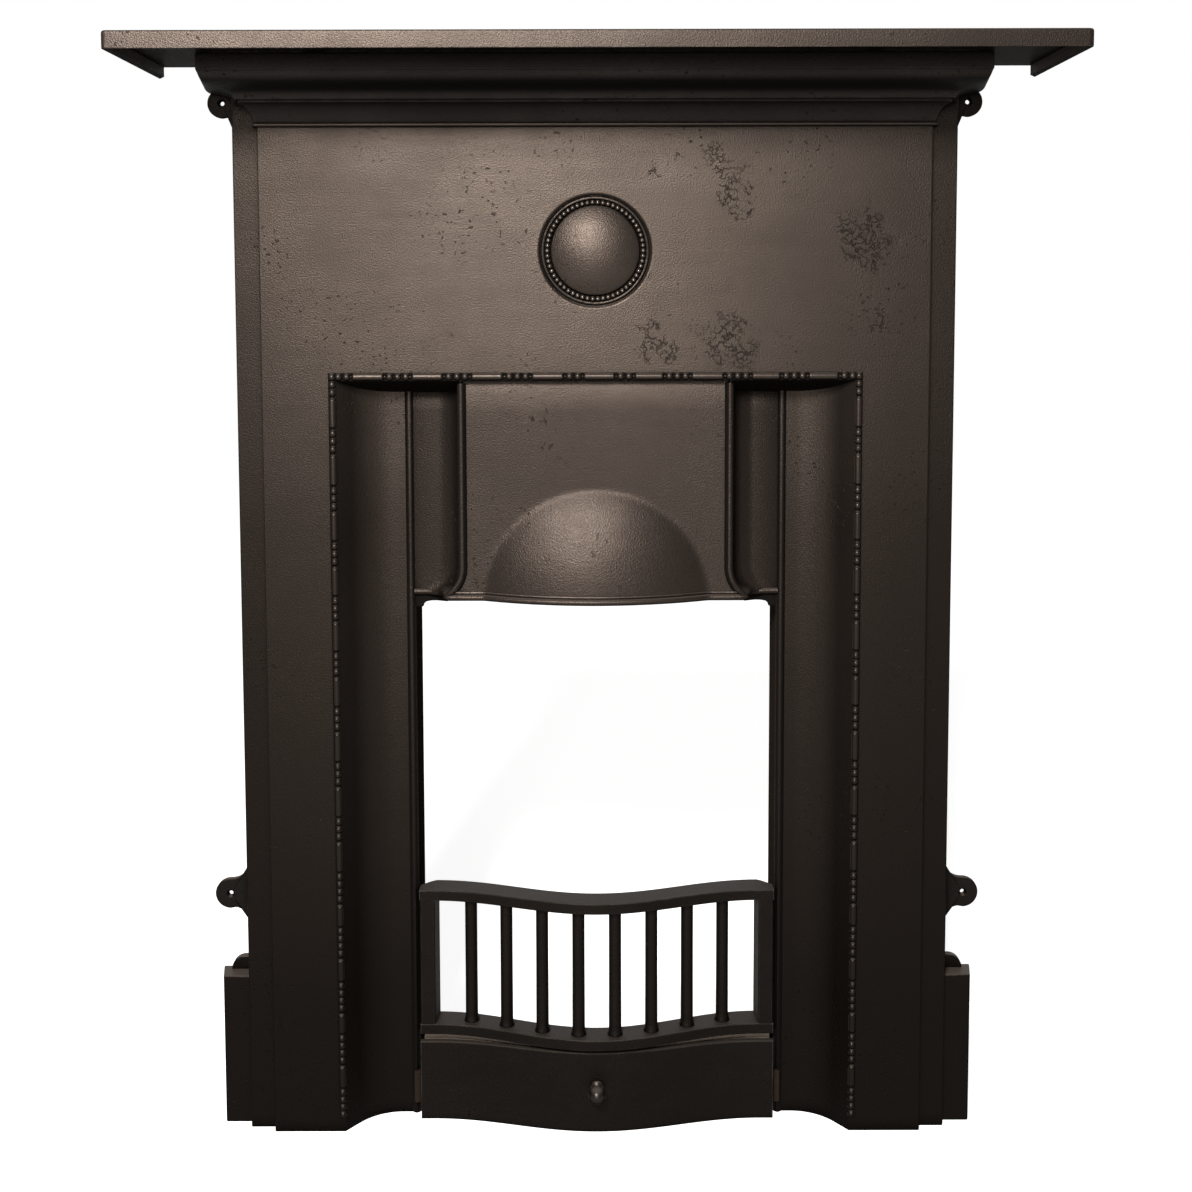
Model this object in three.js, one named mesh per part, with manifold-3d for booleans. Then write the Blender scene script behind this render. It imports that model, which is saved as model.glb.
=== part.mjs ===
// A cast iron bedroom fireplace: one hollow front casting that stands on the floor against the wall,
// with its mantel shelf, a hood bolted into the opening, a throat damper behind the hood, a bowed
// fire front that hooks onto the front casting, and a loose ash pan cover that stands on the floor.
// Millimetres, +Z up. The front faces -Y. While modelling, y = 0 is the face of the front panel.
import * as THREE from "three";
import { mergeVertices } from "three/addons/utils/BufferGeometryUtils.js";
import Module from "manifold-3d";

const wasm = await Module();
wasm.setup();

// ---- Driving dimensions: the whole object ----
const HEIGHT = 965; // floor to the top of the shelf
const IRON = 6; // wall of the front casting
const FIT = 0.3; // gap between two pieces that touch
const WALL_PLANE = 39; // the wall's face, behind the panel's face

// ---- Front casting: panel, stepped sides and plinth blocks ----
const PANEL_HALF = 293;
const PANEL_TOP = 905;
const STRIP_WIDTH = 23; // the strip beside the panel
const STRIP_STEP = 8; // and how far it is set back
const SIDE_DRAFT = 7; // the side wall leans out this much from the strip to the wall
const STRIP_TOP = 930; // the strip runs up into the cornice
const BLOCK_WIDTH = 25; // the plinth block beside the strip
const BLOCK_STEP = 16; // set back from the panel
const BLOCK_DRAFT = 5;
const BLOCK_HEIGHT = 138.5;
const SHOULDER_RADIUS = 12; // rounded rib on top of the block, against the side wall
const SHOULDER_DEPTH = 8;

// ---- Front casting: opening, coved jambs and deep returns ----
const OPENING_HALF = 228.7; // where the coves start
const OPENING_TOP = 683.5;
const COVE_DEPTH = 33;
const COVE_RADIUS = 47.6;
const COVE_SLOPE = THREE.MathUtils.degToRad(52); // angle of the straight first stretch
const RETURN_HALF = 166; // the inner face of the return beside the fire
const RETURN_BACK = 100; // how far back it reaches
const BEAD_RADIUS = 3; // the rolls on the edges of the return and the hood
const TRIM_RADIUS = 3.5; // the ornamental moulding around the opening
const TRIM_BOTTOM = 14; // it stops short of the floor

// ---- Front casting: cornice ----
const CORNICE_REACH = 40; // the top fillet stands this far in front of the panel
const FILLET_HEIGHT = 14;
const OGEE_REACH = 15.5; // where the ogee ends and the cove below it begins
const OGEE_BOTTOM = 925;
const GROOVE_DEPTH = 2.5;
const GROOVE_HEIGHT = 1.5;
const ASTRAGAL_RADIUS = 1.7; // the thin bead between the cornice and the panel
const CORNICE_DRAFT = 9; // its ends lean out this much from the panel's corner to the wall
const CORNICE_SPREAD = 1.15; // and its projection grows by this factor

// ---- Front casting: round boss on the frieze ----
const BOSS_HEIGHT = 796.5;
const BOSS_RADIUS = 49;
const BOSS_GROOVE = 47.5;
const BOSS_RING = 44.9;
const BOSS_BEADS = 41.7;
const DOME_RADIUS = 38.2;
const DOME_RISE = 13;

// ---- Front casting: fixing lugs ----
const LUG_THICKNESS = 5;
const LUG_HOLE = 3.2;
const LUGS = [
  // centre from the middle, height, radius, and how far the web reaches up and down the side wall
  { x: 340, z: 208, radius: 14, up: 21, down: 26, root: 320 },
  { x: 331, z: 928.5, radius: 13, up: 8, down: 27, root: 320 },
];

// ---- Mantel shelf ----
const SHELF_HALF = 388;
const SHELF_FRONT = -121;
const LIP_HEIGHT = 14.3; // over the shelf's thickness
const LIP_THICKNESS = 5;
const SHELF_THICKNESS = 4.3;
const SHELF_CORNER = 3;
const SHELF_EDGE = 2; // rounded edge
const SHELF_BOSS = { x: 240, y: -5, radius: 9 }; // it is screwed down through these
const SHELF_LUG = { half: 15, front: -28, back: 12, top: 946, thickness: 6 };

// ---- Hood ----
const HOOD_FACE = 6.5; // the flat of the hood, behind the panel's face
const HOOD_WALL = 5;
const HOOD_BOTTOM = 487;
const HOOD_ROLL = 119.4; // half the distance between the two upright rolls
const HOOD_ROLL_TURN = 522; // height where the rolls start to curve outwards
const HOOD_ROLL_RADIUS = 39; // radius of that curve
const HOOD_COVE = 24; // the cove from the roll back to the recess
const BULGE_HALF = 99;
const BULGE_RISE = 98;
const BULGE_DEPTH = 24;
const HOOD_FLANGE = { back: 76, bottom: 494, top: 592 }; // bolted to the returns
const HOOD_BOLTS = { y: 57, heights: [512, 574] };

// ---- Throat plate and damper ----
const THROAT_HEIGHT = 600; // underside of the plate
const THROAT_PLATE = 5;
const THROAT = { half: 105, front: 27, back: 75 }; // the smoke outlet
const THROAT_FRONT = 14.5; // the plate's front edge behind the hood's flat
const THROAT_BACK = 96;
const THROAT_FLANGE = { front: 47, back: 93, height: 38 };
const THROAT_BOLT = { y: 70, z: 624 };
const FLAP_LAP = 6; // the flap covers the outlet by this much all round
const FLAP_THICKNESS = 5;
const PIN = { y: 90, z: 613, radius: 4 };
const KNUCKLE = { radius: 7, length: 24, inset: 6 };
const EAR = { radius: 8, thickness: 6 };
const FLAP_LUG = { half: 5, y: 34, depth: 8, drop: 10 };

// ---- Fire front ----
const FRONT_HALF = 162.5;
const FRONT_TOP = 215;
const FRONT_BOTTOM = 78.5;
const FRONT_ENDS = 24.5; // its ends stand this far behind the panel's face
const FRONT_BOW = 32.4; // and its middle this much in front of the ends
const FRONT_DEPTH = 26;
const RAIL_HEIGHT = 10;
const RAIL_EDGE = 1.6; // chamfer on the rails' edges
const STILE_WIDTH = 14;
const BACK_CORNER = 12; // chamfer on the back corners
const BARS = 8;
const BAR_PITCH = 33.1;
const BAR_RADIUS = 5.65;
const BAR_FOOT = { radius: 7.6, height: 6 };
const RIB = { inset: 9, setback: 13.5, thickness: 8, depth: 8.5 };
const BOW_HALF = 150; // outside this the curve runs straight
const HOOK = { inner: 150, outer: 160, arm: 8, drop: 22, top: 174, wall: 6.5 };
const CATCH = { inner: 152, thickness: 8, gap: 4.5, height: 26 };

// ---- Ash pan cover and knob ----
const COVER_HALF = 162;
const COVER_TOP = 74.3;
const COVER_ENDS = 20;
const COVER_BOW = 22.5;
const COVER_WALL = 6;
const COVER_FOOT = { x: 92, half: 3, reach: 24, height: 34 };
const COVER_STOP = { inner: 152, depth: 8, bottom: 12, top: 42 }; // on the return, behind the cover's end
const KNOB_HEIGHT = 42.5;
const KNOB_RADIUS = 7;
const KNOB_COLLAR = { radius: 6.2, thickness: 3 };
const KNOB_NECK = { radius: 3.4, length: 5 };
const KNOB_STUD = { radius: 3, length: 15 };

// ---- Fasteners ----
const BOLT = { radius: 3.8, head: 7.4, headHeight: 5.3, nutHeight: 6.5 };
const BOLT_HOLE = BOLT.radius + FIT;

// ---- Smoothness ----
const ROUND_SIDES = 16;
const BAR_SIDES = 12;
const BOW_STEPS = 28;
const BOSS_SIDES = 40;

// ================= Helpers =================

// A closed three.js geometry with its seams merged, so that only shared corners are left.
function closed(geometry) {
  geometry.deleteAttribute("normal");
  geometry.deleteAttribute("uv");
  return mergeVertices(geometry, 1e-4);
}

// The same geometry as a solid that can be joined and cut.
function solid(geometry) {
  return new wasm.Manifold(
    new wasm.Mesh({
      numProp: 3,
      vertProperties: new Float32Array(geometry.getAttribute("position").array),
      triVerts: new Uint32Array(geometry.index.array),
    }),
  );
}

const join = (...geometries) => geometries.map(solid).reduce((a, b) => a.add(b));
const cut = (body, ...geometries) => geometries.map(solid).reduce((a, b) => a.subtract(b), body);

function geometryOf(body) {
  const mesh = body.getMesh();
  return new THREE.BufferGeometry()
    .setAttribute("position", new THREE.BufferAttribute(mesh.vertProperties, 3))
    .setIndex(new THREE.BufferAttribute(mesh.triVerts, 1));
}

// A block between two corners.
function block(x0, x1, y0, y1, z0, z1) {
  const box = closed(new THREE.BoxGeometry(x1 - x0, y1 - y0, z1 - z0));
  return box.translate((x0 + x1) / 2, (y0 + y1) / 2, (z0 + z1) / 2);
}

// A plan outline (x, y) raised from z0 to z1.
function raise(shape, z0, z1) {
  const options = { depth: z1 - z0, bevelEnabled: false, curveSegments: 8 };
  return closed(new THREE.ExtrudeGeometry(shape, options)).translate(0, 0, z0);
}

// A front outline (x, z) pushed from y0 back to y1.
function push(shape, y0, y1) {
  return raise(shape, 0, y1 - y0).rotateX(Math.PI / 2).translate(0, y1, 0);
}

// A side outline (y, z) run from x0 to x1.
function run(shape, x0, x1) {
  const turn = new THREE.Matrix4().makeBasis(
    new THREE.Vector3(0, 1, 0),
    new THREE.Vector3(0, 0, 1),
    new THREE.Vector3(1, 0, 0),
  );
  return raise(shape, x0, x1).applyMatrix4(turn);
}

const outline = (points) => new THREE.Shape(points.map(([a, b]) => new THREE.Vector2(a, b)));

// The mirror image across the middle plane, with its faces turned back outwards.
function mirrored(geometry) {
  const copy = geometry.clone().scale(-1, 1, 1);
  const index = copy.index.array;
  for (let i = 0; i < index.length; i += 3) {
    [index[i + 1], index[i + 2]] = [index[i + 2], index[i + 1]];
  }
  return copy;
}

const pair = (geometry) => [geometry, mirrored(geometry)];

// An open line of points moved to its left by a distance, with mitred corners.
function offsetLine(line, distance) {
  const direction = (a, b) => b.clone().sub(a).normalize();
  return line.map((point, i) => {
    const arriving = i > 0 ? direction(line[i - 1], point) : direction(point, line[1]);
    const leaving = i < line.length - 1 ? direction(point, line[i + 1]) : arriving;
    const normal = new THREE.Vector2(-arriving.y - leaving.y, arriving.x + leaving.x).normalize();
    const mitre = normal.dot(new THREE.Vector2(-arriving.y, arriving.x));
    return point.clone().addScaledVector(normal, distance / mitre);
  });
}

// The outline of a wall that lies to the left of an open line of points.
function wallOutline(line, thickness) {
  return new THREE.Shape([...line, ...offsetLine(line, thickness).reverse()]);
}

// A closed skin through a row of loops that all have the same number of points, with flat ends.
// Seen from the side that the row runs towards, each loop goes round counterclockwise.
function loft(loops, flatten) {
  const count = loops[0].length;
  const positions = loops.flat().flatMap((p) => [p.x, p.y, p.z]);
  const index = [];
  for (let i = 0; i < loops.length - 1; i++) {
    for (let j = 0; j < count; j++) {
      const a = i * count + j;
      const b = i * count + ((j + 1) % count);
      index.push(a, b, b + count, a, b + count, a + count);
    }
  }
  const ends = THREE.ShapeUtils.triangulateShape(loops[0].map(flatten), []);
  const last = (loops.length - 1) * count;
  for (const [a, b, c] of ends) index.push(a, c, b, last + a, last + b, last + c);
  return new THREE.BufferGeometry()
    .setAttribute("position", new THREE.Float32BufferAttribute(positions, 3))
    .setIndex(index);
}

// A round bar along z, standing on the origin.
function rod(radius, length, sides = ROUND_SIDES) {
  return closed(new THREE.CylinderGeometry(radius, radius, length, sides))
    .rotateX(Math.PI / 2)
    .translate(0, 0, length / 2);
}

// A round bar along x, y or z, from one place along it to another.
function barAlong(axis, radius, from, to, a, b, sides = ROUND_SIDES) {
  const bar = rod(radius, to - from, sides).translate(0, 0, from);
  if (axis === "x") return bar.rotateY(Math.PI / 2).translate(0, a, b);
  if (axis === "y") return bar.rotateX(-Math.PI / 2).translate(a, 0, b);
  return bar.translate(a, b, 0);
}

// A round roll that follows a curve in space.
function roll(curve, radius, steps) {
  const section = new THREE.Shape().absarc(0, 0, radius, 0, 2 * Math.PI);
  const options = { steps, extrudePath: curve, curveSegments: 4, bevelEnabled: false };
  return closed(new THREE.ExtrudeGeometry(section, options));
}

// A section of radii and heights turned about the y axis.
function revolve(section, sides) {
  const points = section.map(([r, h]) => new THREE.Vector2(r, h));
  return closed(new THREE.LatheGeometry(points, sides));
}

// The serpentine plan curve of the fire front and the ash pan cover: a bow that dies out at its ends.
function bowed(x, ends, bow) {
  const phase = (Math.PI * Math.min(Math.abs(x), BOW_HALF)) / BOW_HALF;
  return ends - (bow * (1 + Math.cos(phase))) / 2;
}

const castIron = (color, roughness) => new THREE.MeshStandardMaterial({ color, roughness, metalness: 0.7 });
const IRON_FRONT = castIron(0x322c29, 0.5);
const IRON_SHELF = castIron(0x41383a, 0.48);
const IRON_HOOD = castIron(0x363029, 0.47);
const IRON_FIRE = castIron(0x1f1b18, 0.55);
const IRON_BACK = castIron(0x26211e, 0.7);
const STEEL = new THREE.MeshStandardMaterial({ color: 0x4a4542, roughness: 0.5, metalness: 0.9 });

const fireplace = new THREE.Group();

function place(name, shape, material, x = 0, y = 0, z = 0) {
  const geometry = shape.isBufferGeometry ? shape : geometryOf(shape);
  const mesh = new THREE.Mesh(geometry, material);
  mesh.name = name;
  mesh.position.set(x, y, z);
  fireplace.add(mesh);
  return mesh;
}

// ================= Front casting =================

const STRIP_HALF = PANEL_HALF + STRIP_WIDTH;
const CORNICE_TOP = HEIGHT - SHELF_THICKNESS - FIT;
const SIDE_BACK = STRIP_HALF + SIDE_DRAFT;

// The plan line of the stepped side, from the panel's face out and back to the wall.
const sideLine = () => [
  new THREE.Vector2(PANEL_HALF, 0),
  new THREE.Vector2(PANEL_HALF, STRIP_STEP),
  new THREE.Vector2(STRIP_HALF, STRIP_STEP),
  new THREE.Vector2(SIDE_BACK, WALL_PLANE),
];

// The plan line of a jamb: the return beside the fire, the flat, and the cove up to the panel's edge.
function jambLine() {
  const straight = (COVE_DEPTH - COVE_RADIUS * (1 - Math.cos(COVE_SLOPE))) / Math.sin(COVE_SLOPE);
  const flatEnd = OPENING_HALF - straight * Math.cos(COVE_SLOPE) - COVE_RADIUS * Math.sin(COVE_SLOPE);
  const line = new THREE.Path();
  line.moveTo(RETURN_HALF, RETURN_BACK);
  line.lineTo(RETURN_HALF, COVE_DEPTH);
  line.lineTo(flatEnd, COVE_DEPTH);
  const start = Math.PI / 2;
  line.absarc(flatEnd, COVE_DEPTH - COVE_RADIUS, COVE_RADIUS, start, start - COVE_SLOPE, true);
  line.lineTo(OPENING_HALF, 0);
  return line.getPoints(4);
}

function pilaster() {
  const line = [...jambLine(), ...sideLine()];
  return raise(wallOutline(line, IRON), 0, OPENING_TOP + IRON);
}

function frieze() {
  const right = sideLine();
  const left = right.map((p) => new THREE.Vector2(-p.x, p.y)).reverse();
  return raise(wallOutline([...left, ...right], IRON), OPENING_TOP, PANEL_TOP);
}

// The strip and the side wall go on above the frieze until the cornice hides them.
const stripTop = () => raise(wallOutline(sideLine(), IRON), PANEL_TOP - IRON, STRIP_TOP);

function plinthBlock() {
  const front = STRIP_HALF + BLOCK_WIDTH;
  const wall = [
    new THREE.Vector2(STRIP_HALF - IRON / 3, BLOCK_STEP),
    new THREE.Vector2(front, BLOCK_STEP),
    new THREE.Vector2(front + BLOCK_DRAFT, WALL_PLANE),
  ];
  const lid = new THREE.Shape([...wall, new THREE.Vector2(STRIP_HALF, WALL_PLANE)]);
  const shoulderX = SIDE_BACK + IRON / 3;
  const shoulder = new THREE.Shape();
  shoulder.moveTo(STRIP_HALF + IRON / 3, BLOCK_HEIGHT - IRON / 2);
  shoulder.lineTo(shoulderX + SHOULDER_RADIUS, BLOCK_HEIGHT - IRON / 2);
  shoulder.lineTo(shoulderX + SHOULDER_RADIUS, BLOCK_HEIGHT);
  shoulder.absarc(shoulderX, BLOCK_HEIGHT, SHOULDER_RADIUS, 0, Math.PI / 2);
  shoulder.lineTo(STRIP_HALF + IRON / 3, BLOCK_HEIGHT + SHOULDER_RADIUS);
  return [
    raise(wallOutline(wall, IRON), 0, BLOCK_HEIGHT),
    raise(lid, BLOCK_HEIGHT - IRON, BLOCK_HEIGHT),
    push(shoulder, WALL_PLANE - SHOULDER_DEPTH, WALL_PLANE),
  ];
}

// The cornice's section as projection from the panel's face and height, hollow behind.
function corniceSection() {
  const cornerTop = CORNICE_TOP - FILLET_HEIGHT;
  const face = new THREE.Path();
  face.moveTo(-IRON / 2, PANEL_TOP - ASTRAGAL_RADIUS);
  face.lineTo(ASTRAGAL_RADIUS, PANEL_TOP - ASTRAGAL_RADIUS);
  face.lineTo(2 * ASTRAGAL_RADIUS, PANEL_TOP);
  face.lineTo(2 * ASTRAGAL_RADIUS, PANEL_TOP + ASTRAGAL_RADIUS);
  face.quadraticCurveTo(
    2 * ASTRAGAL_RADIUS + GROOVE_DEPTH,
    OGEE_BOTTOM - GROOVE_HEIGHT - IRON,
    OGEE_REACH - GROOVE_DEPTH,
    OGEE_BOTTOM - GROOVE_HEIGHT,
  );
  face.lineTo(OGEE_REACH - GROOVE_DEPTH, OGEE_BOTTOM);
  face.lineTo(OGEE_REACH, OGEE_BOTTOM);
  const half = (cornerTop - OGEE_BOTTOM) / 2;
  face.bezierCurveTo(
    OGEE_REACH,
    OGEE_BOTTOM + 1.2 * half,
    CORNICE_REACH,
    cornerTop - 1.2 * half,
    CORNICE_REACH,
    cornerTop,
  );
  face.lineTo(CORNICE_REACH, CORNICE_TOP);
  const hollow = [
    new THREE.Vector2(CORNICE_REACH - IRON, CORNICE_TOP),
    new THREE.Vector2(CORNICE_REACH - IRON, cornerTop + IRON / 2),
    new THREE.Vector2(OGEE_REACH - IRON, OGEE_BOTTOM + IRON / 2),
    new THREE.Vector2(-IRON, PANEL_TOP + IRON),
    new THREE.Vector2(-IRON, PANEL_TOP - ASTRAGAL_RADIUS),
  ];
  return [...face.getPoints(5), ...hollow];
}

// The cornice runs across the front and turns back to the wall at mitred corners.
function cornice() {
  const section = corniceSection();
  const atCorner = (side) =>
    section.map((p) => new THREE.Vector3(side * (PANEL_HALF + p.x), -p.x, p.y));
  const atWall = (side) =>
    section.map((p) => {
      const x = PANEL_HALF + CORNICE_DRAFT + CORNICE_SPREAD * p.x;
      return new THREE.Vector3(side * x, WALL_PLANE, p.y);
    });
  const loops = [atWall(1), atCorner(1), atCorner(-1), atWall(-1)];
  return loft(loops, (p) => new THREE.Vector2(p.x, p.z));
}

// The round boss: a hollow dome inside a ring of beads, kept plain here as a low ring.
function boss() {
  const steps = 7;
  const dome = (radius, rise, i) => {
    const t = (i / steps) * (Math.PI / 2);
    return [i < steps ? radius * Math.cos(t) : 0, rise * Math.sin(t)];
  };
  const section = [];
  for (let i = steps; i >= 0; i--) {
    const [r, h] = dome(DOME_RADIUS - IRON / 2, DOME_RISE, i);
    section.push([r, h - IRON]);
  }
  section.push(
    [BOSS_RADIUS, -IRON],
    [BOSS_RADIUS, 0],
    [BOSS_GROOVE, -1],
    [BOSS_RING + 1, 0],
    [BOSS_RING, 1],
    [BOSS_RING - 1, 0],
    [BOSS_BEADS, 1.8],
    [DOME_RADIUS + 1, 0],
  );
  for (let i = 0; i <= steps; i++) section.push(dome(DOME_RADIUS, DOME_RISE, i));
  return revolve(section, BOSS_SIDES).rotateX(Math.PI).translate(0, 0, BOSS_HEIGHT);
}

// A fixing lug: a round eye on a web that spreads down and up the side wall.
function lug({ x, z, radius, up, down, root }) {
  const shape = new THREE.Shape();
  shape.moveTo(root, z - down);
  shape.quadraticCurveTo(root + radius / 4, z - radius, x - radius / 3, z - 0.94 * radius);
  shape.absarc(x, z, radius, -Math.PI / 2, Math.PI / 2, false);
  shape.quadraticCurveTo(root + radius / 4, z + radius, root, z + up);
  return push(shape, WALL_PLANE - LUG_THICKNESS, WALL_PLANE);
}

const lugHole = ({ x, z }) => barAlong("y", LUG_HOLE, 0, 2 * WALL_PLANE, x, z);

// The ornamental moulding up both sides and across the top, kept plain here as a half-round.
function trim() {
  const x = OPENING_HALF + TRIM_RADIUS;
  const z = OPENING_TOP + TRIM_RADIUS;
  const upright = barAlong("z", TRIM_RADIUS, TRIM_BOTTOM, z, x, 0, BAR_SIDES);
  const across = barAlong("x", TRIM_RADIUS, -x - TRIM_RADIUS, x + TRIM_RADIUS, 0, z, BAR_SIDES);
  return [...pair(upright), across];
}

// The catch that a hook of the fire front hangs on, cast on the inside of the return.
const CATCH_FRONT = FRONT_ENDS + FRONT_DEPTH + CATCH.gap;
const CATCH_TOP = HOOK.top - HOOK.arm - FIT;

function catchLug() {
  const back = CATCH_FRONT + CATCH.thickness;
  const side = outline([
    [CATCH_FRONT, CATCH_TOP - CATCH.height + CATCH.thickness],
    [CATCH_FRONT + CATCH.thickness / 2, CATCH_TOP - CATCH.height],
    [back, CATCH_TOP - CATCH.height],
    [back, CATCH_TOP],
    [CATCH_FRONT, CATCH_TOP],
  ]);
  return run(side, CATCH.inner, RETURN_HALF + IRON / 2);
}

// The stop behind each end of the ash pan cover, cast on the inside of the return.
function coverStop() {
  const front = COVER_ENDS + COVER_WALL + FIT;
  const { inner, depth, bottom, top } = COVER_STOP;
  return block(inner, RETURN_HALF + IRON / 2, front, front + depth, bottom, top);
}

function shelfLug() {
  const { half, front, back, top, thickness } = SHELF_LUG;
  return block(SHELF_BOSS.x - half, SHELF_BOSS.x + half, front, back, top - thickness, top);
}

function frontCasting() {
  const ledgeHalf = OPENING_HALF - IRON / 2;
  const ledgeTop = OPENING_TOP + IRON;
  const body = join(
    ...pair(pilaster()),
    frieze(),
    ...pair(stripTop()),
    ...plinthBlock().flatMap(pair),
    cornice(),
    block(-ledgeHalf, ledgeHalf, IRON / 2, WALL_PLANE, OPENING_TOP, ledgeTop),
    ...pair(barAlong("z", BEAD_RADIUS, 0, OPENING_TOP, RETURN_HALF + BEAD_RADIUS, COVE_DEPTH, BAR_SIDES)),
    ...trim(),
    ...LUGS.map(lug).flatMap(pair),
    ...pair(catchLug()),
    ...pair(coverStop()),
    ...pair(shelfLug()),
  );
  const holes = [
    ...LUGS.map(lugHole).flatMap(pair),
    ...pair(barAlong("z", BOLT_HOLE, 0, HEIGHT, SHELF_BOSS.x, SHELF_BOSS.y)
      .scale(1, 1, SHELF_LUG.thickness / HEIGHT + 0.01)
      .translate(0, 0, SHELF_LUG.top - SHELF_LUG.thickness - 1)),
    ...HOOD_BOLTS.heights.map((z) => sideHole(HOOD_BOLTS.y, z)).flatMap(pair),
    ...pair(sideHole(THROAT_BOLT.y, THROAT_BOLT.z)),
    ...pair(block(RETURN_HALF + 2 * IRON, SHELF_HALF, WALL_PLANE, 2 * WALL_PLANE, -1, HEIGHT)),
    barAlong("y", BOSS_RADIUS - 0.5, -1, IRON + 1, 0, BOSS_HEIGHT, BOSS_SIDES),
  ];
  return cut(body, ...holes).add(solid(boss()));
}

// A bolt hole from side to side through a return and the flange inside it.
function sideHole(y, z) {
  return barAlong("x", BOLT_HOLE, RETURN_HALF - 3 * IRON, RETURN_HALF + 2 * IRON, y, z);
}

place("surround", frontCasting(), IRON_FRONT);

// ================= Mantel shelf =================

function mantelShelf() {
  const plan = new THREE.Shape();
  const [left, right] = [-SHELF_HALF + SHELF_EDGE, SHELF_HALF - SHELF_EDGE];
  const front = SHELF_FRONT + SHELF_EDGE;
  const back = WALL_PLANE + 2 * SHELF_EDGE;
  plan.moveTo(left + SHELF_CORNER, front);
  plan.lineTo(right - SHELF_CORNER, front);
  plan.absarc(right - SHELF_CORNER, front + SHELF_CORNER, SHELF_CORNER, -Math.PI / 2, 0, false);
  plan.lineTo(right, back);
  plan.lineTo(left, back);
  plan.lineTo(left, front + SHELF_CORNER);
  plan.absarc(left + SHELF_CORNER, front + SHELF_CORNER, SHELF_CORNER, Math.PI, 1.5 * Math.PI, false);
  const edge = { bevelEnabled: true, bevelSize: SHELF_EDGE, bevelThickness: SHELF_EDGE, bevelSegments: 3 };
  const depth = LIP_HEIGHT - 2 * SHELF_EDGE;
  const blank = closed(new THREE.ExtrudeGeometry(plan, { depth, curveSegments: 3, ...edge }));
  blank.translate(0, 0, HEIGHT - LIP_HEIGHT + SHELF_EDGE);
  const inside = SHELF_HALF - LIP_THICKNESS;
  const under = HEIGHT - SHELF_THICKNESS;
  const hollow = block(-inside, inside, SHELF_FRONT + LIP_THICKNESS, 3 * WALL_PLANE, 0, under);
  const rear = block(-SHELF_HALF, SHELF_HALF, WALL_PLANE, 3 * WALL_PLANE, 0, 2 * HEIGHT);
  const plate = cut(solid(blank), hollow, rear);
  const bossBottom = SHELF_LUG.top + FIT;
  const bossBar = barAlong("z", SHELF_BOSS.radius, bossBottom, HEIGHT - 1, SHELF_BOSS.x, SHELF_BOSS.y);
  const tapped = barAlong("z", BOLT_HOLE, bossBottom - 1, under, SHELF_BOSS.x, SHELF_BOSS.y);
  return cut(plate.add(join(...pair(bossBar))), ...pair(tapped));
}

place("mantel_shelf", mantelShelf(), IRON_SHELF);

// ================= Hood =================

// Half the distance between the upright rolls at a height: they curve outwards near the bottom edge.
function rollAt(z) {
  const drop = Math.max(HOOD_ROLL_TURN - z, 0);
  return HOOD_ROLL + HOOD_ROLL_RADIUS - Math.sqrt(HOOD_ROLL_RADIUS ** 2 - drop ** 2);
}

// The half-dome on the hood's flat: how far it stands forward.
function bulge(x, z) {
  const r = Math.hypot(x / BULGE_HALF, (z - HOOD_BOTTOM) / BULGE_RISE);
  return r < 1 ? BULGE_DEPTH * Math.pow(1 - r * r, 0.7) : 0;
}

const HOOD_HALF = RETURN_HALF - FIT - 0.1;

// The hood's plan line at a height: flat recess, cove, flat with its half-dome, cove, flat recess.
function hoodLine(z) {
  const rollX = rollAt(z);
  const reach = Math.min(HOOD_COVE, HOOD_HALF - 2 * HOOD_WALL - rollX);
  const depth = COVE_DEPTH - HOOD_FACE;
  const right = [];
  const plateSteps = 12;
  for (let i = 0; i <= plateSteps; i++) {
    const x = (i / plateSteps) * Math.min(rollX, BULGE_HALF + 1);
    right.push(new THREE.Vector2(x, HOOD_FACE - bulge(x, z)));
  }
  const coveSteps = 5;
  for (let i = 0; i <= coveSteps; i++) {
    const t = (i / coveSteps) * (Math.PI / 2);
    right.push(new THREE.Vector2(rollX + reach * (1 - Math.cos(t)), HOOD_FACE + depth * Math.sin(t)));
  }
  right.push(new THREE.Vector2(HOOD_HALF, COVE_DEPTH));
  const left = right.slice(1).map((p) => new THREE.Vector2(-p.x, p.y)).reverse();
  return [...left, ...right];
}

function hoodShell() {
  const top = OPENING_TOP - FIT;
  const heights = [HOOD_BOTTOM];
  const lower = 9;
  for (let i = 1; i <= lower; i++) heights.push(HOOD_BOTTOM + (i / lower) * (BULGE_RISE + 1));
  heights.push(top);
  const loops = heights.map((z) => {
    const line = hoodLine(z);
    const loop = [...line, ...offsetLine(line, HOOD_WALL).reverse()];
    return loop.map((p) => new THREE.Vector3(p.x, p.y, z));
  });
  return loft(loops, (p) => new THREE.Vector2(p.x, p.y));
}

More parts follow.
